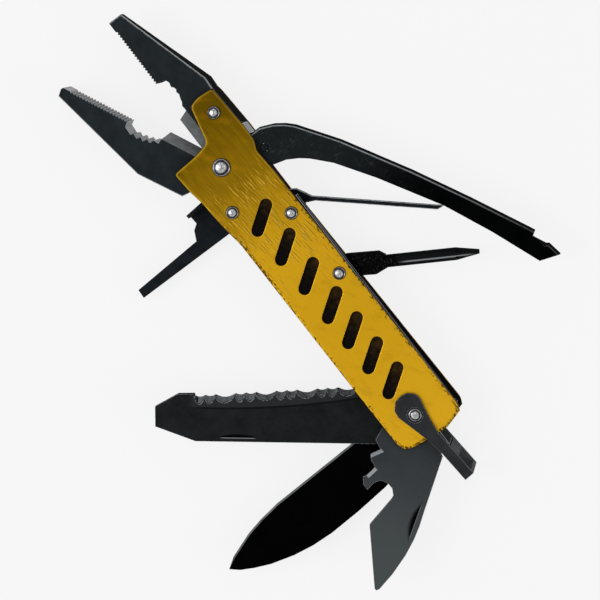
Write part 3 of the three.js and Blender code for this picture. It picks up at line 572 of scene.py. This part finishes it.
knife_steel = steel("knife_black", (0, 0, 0), (2, 2, 3), roughness=0.34, cloud=8 * MM,
                    grain=0.2 * MM, relief=0.1, turned=knife_stand, stretch=(0.1, 1, 1), gloss=0.015)
knife_ground = steel("knife_ground", (92, 94, 95), (138, 140, 141), roughness=0.34, cloud=3 * MM,
                     grain=0.2 * MM, relief=0.1, turned=knife_stand, stretch=(0.1, 1, 1),
                     grazing=(170, 172, 173))
knife = machined("knife_blade", (knife_steel, knife_steel, knife_ground), width=0.08, pivot=tail,
                 stand=knife_stand, bare=ground_edge)


def revolved(name, profile, centre, steps=96):
    """Surface of revolution about an upright axis: a point of the profile at radius r goes to
    r·cos and r·sin of each angle. A point at radius 0 closes the surface as a pole."""
    radius, level = np.array(profile, float).T
    angle = np.linspace(0, 2 * math.pi, steps, endpoint=False)
    x = centre[0] + np.outer(radius, np.cos(angle))
    y = centre[1] + np.outer(radius, np.sin(angle))
    z = np.repeat(level[:, None], steps, 1)
    points = np.stack((x, y, z), -1).reshape(-1, 3)
    ring, step = np.meshgrid(np.arange(len(radius) - 1), np.arange(steps), indexing="ij")
    after = (step + 1) % steps
    quads = np.stack((ring * steps + step, ring * steps + after, (ring + 1) * steps + after,
                      (ring + 1) * steps + step), -1).reshape(-1, 4)
    mesh = bpy.data.meshes.new(name)
    mesh.from_pydata(points.tolist(), [], quads.tolist())
    shell = bmesh.new()
    shell.from_mesh(mesh)
    bmesh.ops.remove_doubles(shell, verts=shell.verts, dist=0.0001 * MM)
    bmesh.ops.recalc_face_normals(shell, faces=shell.faces)
    shell.to_mesh(mesh)
    shell.free()
    mesh.polygons.foreach_set("use_smooth", np.ones(len(mesh.polygons), bool))
    return linked(name, mesh)


def nail_nick(stand, first, last, level, depth, lean):
    """Cutter for a nail nick: a disc that dips to a depth below a level between two points, given
    in mm in the blade's own axes. Its flat face stands on the line between them, and its rim
    rises at a lean on the other side."""
    first, last = np.array(first) * MM, np.array(last) * MM
    half = np.linalg.norm(last - first) / 2
    radius = (half * half + depth * depth) / (2 * depth)
    thick = 2.5 * MM
    profile = [(0, 0), (radius, 0), (radius, thick), (0, thick)]
    disc = revolved("nick_cutter", profile, (0, 0), steps=256)
    along = (last - first) / (2 * half)
    across = np.array((-along[1], along[0]))
    if across[1] > 0:
        across = -across
    lift = math.radians(lean)
    axis = np.array((across[0] * math.cos(lift), across[1] * math.cos(lift), math.sin(lift)))
    side = np.array((along[0], along[1], 0.0))
    up = np.cross(axis, side)
    middle = (first + last) / 2
    top = np.array((middle[0], middle[1], level - depth)) + np.sign(up[2]) * up * radius
    placing = np.eye(4)
    placing[:3, :3] = rotation(stand) @ np.stack((side, up, axis), 1)
    placing[:3, 3] = rotation(stand) @ top + np.array((*tail, 0))
    placing = Matrix(placing.tolist())
    disc.data.transform(placing)
    if placing.determinant() < 0:
        disc.data.flip_normals()
    return disc


def painted_depth_shade(start, colour, top, black):
    """Painted shade: colour that turns black at some depth below a top level, as in a nail nick."""
    depth = top - placed(start).part("Z")
    return depth.over(0.02 * MM, black).mix(colour, (3, 3, 4))


def pale_line(own, first, last, offset=0.2, half=0.1, fade=0.15, ends=(0.5, 2.0)):
    """1 on a line between two points in mm, moved aside by an offset, and 0 round it. It fades out
    across its sides and towards its two ends."""
    x = own.part("X") / MM - first[0]
    y = own.part("Y") / MM - first[1]
    long = math.dist(first, last)
    cosine, sine = (last[0] - first[0]) / long, (last[1] - first[1]) / long
    along = x * cosine + y * sine
    aside = abs(y * cosine - x * sine - offset)
    near, far = ends
    between = along.over(near, far) * (1 - along.over(long - far, long - near))
    return (1 - aside.over(half, half + fade)) * between


serrated_stand = 52.5
serrated_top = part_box("serrated_blade")[1].z
serrated_nick = (41.6, 7.5), (53.1, 7.5)


def scallops(centre, normal):
    """The slanted faces that the grinding wheel left along the front of the edge."""
    return within(normal[:, 2], 0.2, 0.99) & within(centre[:, 0], 15, 58) & (centre[:, 1] < 0)


def scallop_rims(start, colour):
    """Black along each scallop's upper rim."""
    depth = serrated_top - placed(start).part("Z")
    return (0.85 - depth.over(0.1 * MM, 0.5 * MM)).mix(colour, (14, 15, 16))


def grind_line(start, colour):
    """The end of the wheel's path above the scallops: a dark line on a parabola, in mm in the
    blade's own axes, with slightly paler steel between it and the edge. A painted highlight runs
    along the nail nick's straight edge, and painted shade darkens the nick with its depth."""
    own = placed(start, serrated_stand, centre=tail)
    x = own.part("X") / MM
    path = (x - 18.6) * 0.1025 - (x - 18.6) * (x - 43.0) * 0.00225 - 2.9
    offset = own.part("Y") / MM - path
    inside = (1 - offset.over(-0.35, 0.05)) * (1 - x.over(58.5, 61.0))
    line = (1 - abs(offset).over(0.12, 0.42)) * (1 - x.over(57.0, 60.0))
    colour = (inside * 0.55).mix(colour, (38, 40, 41))
    colour = (line * 0.85).mix(colour, (9, 10, 11))
    # Painted highlight along the nail nick's straight edge.
    colour = (pale_line(own, *serrated_nick) * 0.9).mix(colour, (104, 106, 107))
    # Painted shade in the nail nick, darker with depth.
    return painted_depth_shade(start, colour, serrated_top, black=0.1 * MM)


serrated_steel = steel("serrated_black", (14, 16, 16), (26, 28, 29), roughness=0.42,
                       grain=0.24 * MM, relief=0.2, turned=serrated_stand, stretch=(0.2, 1, 1),
                       marks=grind_line)
serrated_edge = worn("serrated_edge", (30, 32, 34), (112, 115, 118), amount=0.6)
serrated_ground = steel("serrated_ground", (46, 49, 51), (112, 115, 117), cloud=1.6 * MM,
                        grain=0.24 * MM, relief=0.2, grazing=(170, 172, 173), metallic=0.5,
                        marks=scallop_rims)
nick = nail_nick(serrated_stand, *serrated_nick, level=serrated_top, depth=0.38 * MM, lean=22)
serrated = machined("serrated_blade", (serrated_steel, serrated_edge, serrated_ground), width=0.1,
                    pivot=tail, stand=serrated_stand, bare=scallops, cutter=nick)

opener_stand = 131
opener_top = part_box("can_opener")[1].z
opener_nick = (22.2, 6.2), (34.2, 4.5)
second_notch = (16.3, -7.6), (18.9, -9.4)


def wrench_notches(middle, least, most):
    """The front edges of the two wrench notches, where they face the tip."""
    x, y = middle[:, 0], middle[:, 1]
    notched = within(x, 10.6, 13.2) | within(x, 16, 19.3)
    return (most[:, 2] > 0.9) & (least[:, 1] < -0.3) & notched & (y < -7)


def towards_tip(start, colour):
    """Grey steel that is darker round its pivot and paler towards the tip, with a painted highlight
    along the nail nick's straight edge, a pale facet of painted light at the second wrench notch,
    and painted shade that darkens the nick with its depth."""
    own = placed(start, opener_stand, centre=tail)
    tip = own.part("X").over(4 * MM, 42 * MM)
    colour = (tip * 0.75).mix(colour, (64, 69, 70))
    # Painted highlight along the nail nick's straight edge.
    colour = (pale_line(own, *opener_nick) * 0.9).mix(colour, (108, 111, 112))
    # Painted light: a pale facet at the second wrench notch, where no chamfer is cut.
    facet = pale_line(own, *second_notch, offset=0.45, half=0.4, fade=0.1, ends=(-0.2, 0.2))
    colour = (facet * 0.9).mix(colour, (132, 136, 138))
    # Painted shade in the nail nick, darker with depth.
    return painted_depth_shade(start, colour, opener_top, black=0.5 * MM)


opener_steel = steel("opener_grey", (36, 38, 41), (45, 48, 50), roughness=0.38, cloud=9 * MM,
                     grain=0.24 * MM, relief=0.12, turned=opener_stand, stretch=(0.3, 1, 1),
                     marks=towards_tip)
opener_edge = worn("opener_edge", (84, 87, 88), (128, 131, 133), amount=0.7)
# The chamfer facets at the wrench notch are pale: ground steel, and painted light on the facet.
notch_ground_and_lit = worn("notch_ground", (108, 112, 114), (146, 149, 151), amount=0.8)
nick = nail_nick(opener_stand, *opener_nick, level=opener_top, depth=0.75 * MM, lean=24)
opener = machined("can_opener", (opener_steel, opener_edge, notch_ground_and_lit), width=0.12, pivot=tail,
                  stand=opener_stand, cutter=nick, chamfer=wrench_notches, chamfer_width=0.8)


# Drivers and awl
# The flat driver is a blackened plate with a thumb flange folded up. The cross driver is forged,
# a round shank on a rough tang, and the awl is a drawn rod with soft edges. Each has its rivet.

cross_stand = 239
cross_pivot = joints["cross_driver_fold"]["pos_m"][:2]


def shank(start, colour):
    """Pale dimples on the tang, a slightly paler shank, and two painted highlights along the round shank.
    """
    own = placed(start, cross_stand, centre=cross_pivot)
    on_shank = own.part("X").over(14 * MM, 16 * MM)
    dimples = noise(placed(start), 0.5 * MM, detail=2.0).over(0.6, 0.7) * (1 - on_shank) * 0.25
    colour = dimples.mix(colour, (84, 86, 88))
    colour = (on_shank * 0.5).mix(colour, (20, 21, 22))
    # Two painted highlights along the round shank.
    for side, strength in ((0.55, 0.65), (-0.8, 0.45)):
        line = pale_line(own, (14, 0), (36, 0), side, half=0.08, fade=0.22, ends=(0.5, 4.0))
        colour = (line * strength).mix(colour, (136, 138, 140))
    return colour


driver_steel = steel("driver_black", (10, 13, 16), (26, 30, 34), roughness=0.3, cloud=3 * MM,
                     grain=0.24 * MM, relief=0.2)
driver_edge = worn("driver_edge", (14, 17, 19), (74, 78, 81), amount=0.6, size=0.9 * MM, roughness=0.25)
flat = machined("flat_driver", (driver_steel, driver_edge), width=0.25, segments=3)
# Edges of the cross driver and the awl: worn in patches, and paler still for painted highlight lines.
gloss_edge = worn("gloss_edge", (52, 55, 58), (158, 161, 164), amount=0.85, size=0.9 * MM, roughness=0.2)
cross_steel = steel("cross_black", (0, 0, 0), (5, 5, 6), roughness=0.2, cloud=1 * MM,
                    grain=0.5 * MM, relief=0.9, marks=shank)
cross = machined("cross_driver", (cross_steel, gloss_edge), width=0.2, segments=3)
awl_steel = steel("awl_black", (4, 5, 6), (28, 30, 32), roughness=0.18, cloud=2 * MM,
                  grain=0.3 * MM, relief=0.2, gloss=0.1)
awl = machined("awl", (awl_steel, gloss_edge), width=0.35, segments=3)


# Covers
# Two gold-coated steel sheets, brushed along the handle, with a row of leaning slots. They are
# blanked with a slight roll at every edge and held by the rivets.

def area_of(points):
    """Signed area inside a closed outline."""
    after = np.roll(points, -1, 0)
    return 0.5 * (points[:, 0] * after[:, 1] - after[:, 0] * points[:, 1]).sum()


def outlines(node, level):
    """Closed outlines of a CAD solid's flat face at a level: the face's border edges, walked from
    end to end. The first is the outer one and runs anticlockwise, and the holes run clockwise."""
    mesh = frame["nodes"][node].data
    shell = bmesh.new()
    shell.from_mesh(mesh)
    bmesh.ops.remove_doubles(shell, verts=shell.verts, dist=0.0005 * MM)
    flat = [f for f in shell.faces if all(abs(v.co.z - level) < 0.002 * MM for v in f.verts)]
    chosen = set(flat)
    after = {}
    for face in flat:
        for loop in face.loops:
            if not any(other in chosen for other in loop.edge.link_faces if other is not face):
                after[loop.vert] = loop.link_loop_next.vert
    found = []
    while after:
        vert = next(iter(after))
        walk = []
        while vert in after:
            walk.append((vert.co.x, vert.co.y))
            vert = after.pop(vert)
        found.append(np.array(walk))
    shell.free()
    found.sort(key=lambda points: -abs(area_of(points)))
    ways = [(area_of(points) > 0) == (i == 0) for i, points in enumerate(found)]
    return [points if way else points[::-1] for points, way in zip(found, ways)]


def softened(points, reach, steps=5):
    """Closed outline whose corners are curves: each is a parabola that leaves its two sides at a
    distance of reach, or at half of a shorter side, so that short sides run into a smooth line."""
    before = np.roll(points, 1, 0) - points
    after = np.roll(points, -1, 0) - points
    size_before = np.linalg.norm(before, axis=1, keepdims=True)
    size_after = np.linalg.norm(after, axis=1, keepdims=True)
    start = points + before / size_before * np.minimum(reach, size_before * 0.499)
    end = points + after / size_after * np.minimum(reach, size_after * 0.499)
    t = np.linspace(0, 1, steps + 1)[None, :, None]
    curve = (1 - t) ** 2 * start[:, None] + 2 * t * (1 - t) * points[:, None] + t ** 2 * end[:, None]
    return curve.reshape(-1, 2)


def inset(points, distance):
    """Closed outline moved to its left, along the mean normal of each pair of sides."""
    along = np.roll(points, -1, 0) - points
    along /= np.maximum(np.linalg.norm(along, axis=1, keepdims=True), 1e-12)
    side = np.stack((-along[:, 1], along[:, 0]), 1)
    both = side + np.roll(side, 1, 0)
    both /= np.maximum(np.linalg.norm(both, axis=1, keepdims=True), 1e-12)
    stretch = 1 / np.maximum((both * side).sum(1, keepdims=True), 0.5)
    return points + both * stretch * distance


def sheet_metal(name, loops, low, high, rolls, margins, steps=4):
    """Plate with rolled edges. Each outline gives a stack of rings: across its margin, round a
    quarter circle, down the wall and round again. The rings join as quads, the two flats as
    triangles. The attributes rim and outer fall from 1 at a wall to 0 inside its margin, and
    outer does so only along the first outline."""
    turn = np.linspace(0, math.pi / 2, steps + 1)
    shares = np.concatenate(([0], np.ones(2 * steps + 2), [0]))
    points, quads, rims, outers, caps, count = [], [], [], [], [[], []], 0
    for loop, roll, margin in zip(loops, rolls, margins):
        size = len(loop)
        inward = roll * (1 - np.sin(turn))
        drop = roll * (1 - np.cos(turn))
        levels = np.concatenate(([high], high - drop, low + drop[::-1], [low]))
        insets = np.concatenate(([margin], inward, inward[::-1], [margin]))
        rings = np.stack([np.column_stack((inset(loop, i), np.full(size, z)))
                          for i, z in zip(insets, levels)])
        ring, step = np.meshgrid(np.arange(len(insets) - 1), np.arange(size), indexing="ij")
        after = (step + 1) % size
        quads.append(count + np.stack((ring * size + step, (ring + 1) * size + step,
                                       (ring + 1) * size + after, ring * size + after), -1).reshape(-1, 4))
        points.append(rings.reshape(-1, 3))
        rims.append(np.repeat(shares, size))
        outers.append(np.repeat(shares, size) * (count == 0))
        caps[0].append(count + np.arange(size))
        caps[1].append(count + (len(insets) - 1) * size + np.arange(size))
        count += len(insets) * size
    points = np.concatenate(points)
    faces = np.concatenate(quads).tolist()
    for rings, up in zip(caps, (True, False)):
        flat = np.concatenate(rings)
        lines = [[Vector((*points[i, :2], 0)) for i in ring] for ring in rings]
        triangles = flat[np.array(tessellate_polygon(lines))]
        a, b, c = (points[triangles[:, k], :2] for k in range(3))
        doubled = (b - a)[:, 0] * (c - a)[:, 1] - (b - a)[:, 1] * (c - a)[:, 0]
        triangles[(doubled > 0) != up] = triangles[(doubled > 0) != up][:, ::-1]
        faces += triangles.tolist()
    mesh = bpy.data.meshes.new(name)
    mesh.from_pydata(points.tolist(), [], faces)
    mark(mesh, "rim", "POINT", np.concatenate(rims))
    mark(mesh, "outer", "POINT", np.concatenate(outers))
    mesh.polygons.foreach_set("use_smooth", np.ones(len(mesh.polygons), bool))
    return linked(name, mesh)


def marked(start, name):
    """A number that the mesh carries at its points."""
    return start.node("Attribute", {"attribute_name": name}, None, "Fac")


def gold_finish():
    """Brushed gold coating. Painted shade deepens it from the tail to the jaws, fine strokes lie along
    the handle, dark and light scratches gather round the first slots, a painted highlight lies on the
    rolled rims, and the edges are worn."""
    material, shader, start = finish("gold_brushed", (200, 170, 90))
    tail_end = -88.5 * MM
    handle_length = 106 * MM
    place = placed(start)
    along = place.part("X")
    strokes = noise(placed(start, turned=3, stretch=(0.05, 1, 1)), 0.22 * MM)
    broad = noise(placed(start, turned=2, stretch=(0.1, 1, 1)), 0.8 * MM)
    clouds = noise(place, 9 * MM, detail=2.0)
    # Painted light and shade: paler at the tail, darker towards the jaws.
    shade = (along - tail_end) / handle_length
    shade = shade + (clouds - 0.5) * 0.16 + (broad - 0.5) * 0.14 + (strokes - 0.5) * 0.16
    colour = shade.ramp([(0.0, (198, 152, 27)), (0.3, (183, 140, 21)), (0.58, (178, 136, 21)),
                         (0.78, (116, 88, 8)), (0.95, (80, 60, 3))])
    mottle = noise(placed(start, turned=35, stretch=(0.45, 1, 1)), 2.4 * MM, detail=4.0, roughness=0.6)
    colour = (mottle.over(0.5, 0.72) * 0.24).mix(colour, (140, 100, 10))
    near_slots = along.over(-46 * MM, -26 * MM) * (1 - along.over(-10 * MM, 2 * MM))
    patchy = near_slots * (clouds - 0.1)
    for offset, amount, scratch in ((0, 0.8, (62, 42, 4)), (0.13 * MM, 0.4, (220, 178, 56))):
        lengthwise = placed(start, turned=7, stretch=(0.1, 1, 1), centre=(0, offset))
        dashes = noise(lengthwise, 0.32 * MM, detail=2.0)
        colour = ((dashes + patchy * 0.16).over(0.62, 0.7) * near_slots * amount).mix(colour, scratch)
    flecks = noise(place, 0.4 * MM).over(0.74, 0.8) * 0.5
    colour = flecks.mix(colour, (84, 62, 12))
    # Painted highlight on the rolled rims of the slots and the outline.
    colour = (marked(start, "rim").over(0.55, 1.0) * 0.15).mix(colour, (222, 180, 56))
    outer = marked(start, "outer")
    worn_off = noise(placed(start, stretch=(0.5, 1, 1)), 0.5 * MM)
    blade_side = place.part("Y").over(-2 * MM, 4 * MM)
    more = near_slots * blade_side * 0.12
    chips = (outer * 0.16 + worn_off + more).over(0.66, 0.74) * outer.over(0.1, 0.3)
    chips = chips * (1 - along.over(-20 * MM, -4 * MM))
    colour = (chips * 0.85).mix(colour, (48, 32, 6))
    tail_side = 1 - along.over(-86.5 * MM, -83.5 * MM)
    smudge = noise(placed(start, stretch=(0.25, 1, 1)), 0.45 * MM).over(0.42, 0.56)
    smudge = smudge * tail_side * outer.over(0.2, 0.6)
    colour = (smudge * 0.85).mix(colour, (40, 27, 5))
    connect(shader, "Base Color", colour)
    connect(shader, "Roughness", strokes * 0.2 + 0.3)
    bump(shader, strokes * 0.6 + broad * 0.4, 0.3, 0.03 * MM)
    return material


gold = gold_finish()
for name in ("front_cover", "rear_cover"):
    low, high = (corner.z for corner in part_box(name))
    found = outlines(name, high)
    holes = len(found) - 1
    reaches = [1.1 * MM] + [0.6 * MM] * holes
    margins = [1.1 * MM] + [0.35 * MM] * holes
    rolls = [0.22 * MM] + [0.1 * MM] * holes
    loops = [softened(points, reach) for points, reach in zip(found, reaches)]
    cover = sheet_metal(name + "_sheet", loops, low, high, rolls, margins)
    cover.data.materials.append(gold)
    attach(cover, "root")
    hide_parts(name)


# Rivets
# Six bright steel rivets hold the handle. Their front heads are peened to low domes, painted with
# rings of reflection, white glints and dark rings of shade towards the rim, and their rear heads are flat.

def rivet_finish():
    """Polished steel with painted reflections and shade: rings of grey from a head's centre to its rim,
    dark towards the rim, and painted white glints on the crown, broken up by peening marks.
    """
    material, shader, start = finish("rivet_bright", (190, 190, 192))
    radius = marked(start, "radius")
    dents = noise(placed(start), 1 * MM, detail=2.0, roughness=0.6)
    painted_glints = noise(placed(start), 0.45 * MM, detail=2.0)
    reflection_greys = [(0.0, 150), (0.25, 128), (0.42, 168), (0.56, 120), (0.64, 30), (0.78, 42), (0.9, 150),
             (0.98, 50)]
    # Painted reflections and shade: rings of grey from centre to rim, with dark rings of painted shade
    # towards the rim.
    rings = (radius + (dents - 0.5) * 0.3).ramp([(r, (grey, grey, grey + 2)) for r, grey in reflection_greys])
    centre = 1 - radius.over(0.45, 0.6)
    # Painted white glints on the crown.
    colour = (painted_glints.over(0.5, 0.6) * centre * 0.6).mix(rings, (232, 232, 234))
    connect(shader, "Base Color", colour)
    connect(shader, "Roughness", dents * 0.2 + 0.12)
    bump(shader, dents, 0.7, 0.1 * MM)
    return material


def riveted(node, pin, seat):
    """Rivet as a surface of revolution. Its front head rises from its seat up a short wall, round
    a quarter circle and over a crown whose height falls with the square of the radius. Its rear
    head is as thick, with a rounded rim round a flat."""
    wall_share, crown_share = 0.12, 0.35
    crown_radius, flat_radius = 0.72, 0.82
    low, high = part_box(node)
    centre = ((low.x + high.x) / 2, (low.y + high.y) / 2)
    head = (high.x - low.x) / 2
    height = high.z - seat
    crown = [(head * crown_radius * r, high.z - crown_share * height * r * r) for r in np.linspace(0, 1, 9)]
    edge = high.z - crown_share * height
    drop = edge - seat - wall_share * height
    turn = np.linspace(0, math.pi / 2, 7)[1:]
    shoulder = [(head * (crown_radius + (1 - crown_radius) * math.sin(a)), edge - drop * (1 - math.cos(a)))
                for a in turn]
    rear_seat = low.z + height
    rear_rim = low.z + 0.5 * height
    rear = [(head, seat), (pin, seat), (pin, rear_seat), (head, rear_seat), (head, rear_rim)]
    rear += [(head * (flat_radius + (1 - flat_radius) * math.cos(a)), rear_rim - 0.5 * height * math.sin(a))
             for a in turn]
    piece = revolved(node + "_turned", crown + shoulder + rear + [(0, low.z)], centre)
    points = field(piece.data.vertices, "co", 3)
    radius = np.linalg.norm(points[:, :2] - np.array(centre), axis=1) / head
    mark(piece.data, "radius", "POINT", radius)
    piece.data.materials.append(rivet_bright)
    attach(piece, frame["nodes"][node]["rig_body"])
    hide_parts(node)


rivet_bright = rivet_finish()
pins = {"jaw_pivot_rivet": 2.2, "upper_jaw_rivet": 1.1, "flat_driver_rivet": 1.1, "awl_rivet": 1.1,
        "cross_driver_rivet": 1.1, "tail_rivet": 1.3}
cover_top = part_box("front_cover")[1].z
tail_head = 0.45 * MM
for name, pin_radius in pins.items():
    seat = cover_top if name != "tail_rivet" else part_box("tail_rivet")[1].z - tail_head
    riveted(name, pin_radius * MM, seat)


# Bail
# A blackened clip bent from sheet: an arm over each cover, a web beside the tail and a bridge
# that hooks over the lever's tip. Both arms are recessed round the tail rivet's heads.

def bail_web(centre, normal):
    """Its web and the inside of its rear arm."""
    upright = (abs(normal[:, 2]) < 0.5) & (normal[:, 0] > -0.8)
    return upright | ((normal[:, 2] > 0.9) & (centre[:, 2] < 6))


# Its upright sides get painted shade, full black.
bail_steel = steel("bail_black", (28, 30, 32), (42, 44, 46), cloud=5 * MM, grain=0.24 * MM,
                   marks=painted_side_shade)
bail_edge = worn("bail_edge", (46, 48, 50), (92, 94, 96), amount=0.6)
# A paler copy of the bail's steel, painted light, on its web and on the inside of its rear arm, which lies
# in shade under the front arm.
web_lit_steel = steel("bail_web", (50, 52, 54), (78, 80, 82), roughness=0.36, grain=0.24 * MM)
bail = machined("bail", (bail_steel, bail_edge, web_lit_steel), width=0.18, segments=3, bare=bail_web)


# Floor, lamps and camera
# A pale floor under a pale sky that is brightest overhead, two broad soft lamps and the viewing
# angle of the photograph.

def pale_floor(name):
    """Diffuse floor that camera, glossy and transmission rays see mostly as plain pale light."""
    material = bpy.data.materials.new(name)
    material.use_nodes = True
    tree = material.node_tree
    tree.nodes.clear()
    start = Shade(tree)
    rays = tree.nodes.new("ShaderNodeLightPath")
    seen = Shade(tree, rays.outputs["Is Camera Ray"])
    for kind in ("Is Glossy Ray", "Is Transmission Ray"):
        seen = start.math("MAXIMUM", seen, Shade(tree, rays.outputs[kind]))
    matt = start.node("BsdfDiffuse", None, {"Color": display(244, 244, 244)})
    glow = start.node("Emission", None, {"Color": display(244, 244, 244), "Strength": 1.0})
    both = start.node("MixShader", None, {0: seen * 0.92, 1: matt, 2: glow})
    output = tree.nodes.new("ShaderNodeOutputMaterial")
    tree.links.new(both.socket, output.inputs["Surface"])
    return material


floor_half = 3.0
bpy.ops.mesh.primitive_plane_add(size=2 * floor_half)
floor = bpy.context.object
floor.name = "floor"
floor.data.materials.append(pale_floor("pale_floor"))

world = bpy.data.worlds.new("sky")
bpy.context.scene.world = world
world.use_nodes = True
height = Shade(world.node_tree).node("TexCoord", None, None, "Generated").part("Z")
sky = height.over(-0.1, 0.75).mix((178, 178, 180), (252, 252, 252))
world.node_tree.links.new(sky.socket, world.node_tree.nodes["Background"].inputs["Color"])


def lamp(name, place, target, size, power):
    """Square area lamp that looks at a target."""
    data = bpy.data.lights.new(name, "AREA")
    data.size = size
    data.energy = power
    holder = linked(name, data)
    holder.location = place
    holder.rotation_euler = (Vector(target) - Vector(place)).to_track_quat("-Z", "Y").to_euler()


middle = (-0.04, 0.0, 0.01)
lamp("key", (0.25, 0.35, 0.6), middle, size=0.35, power=2.2)
lamp("side", (-0.5, -0.3, 0.35), middle, size=0.3, power=1.0)

# The camera looks down on the front cover. It leans from straight above by the tilt.
target = Vector((-0.0397, 0.0048, 0.0139))
distance = 0.65
tilt = math.radians(10.3)
tilt_x, tilt_y = 0.1386, -0.9903
toward = Vector((tilt_x * math.sin(tilt), tilt_y * math.sin(tilt), math.cos(tilt)))
image_up = Vector((0.789, -0.613, 0))
right = (-toward).cross(image_up).normalized()
up = right.cross(-toward)
lens = bpy.data.cameras.new("camera")
lens.lens = 150
lens.sensor_width = 36
lens.clip_start = 0.05
camera = linked("camera", lens)
placing = Matrix((right, up, toward)).transposed().to_4x4()
placing.translation = target + toward * distance
camera.matrix_world = placing
bpy.context.scene.camera = camera
bpy.context.scene.view_settings.view_transform = "Standard"
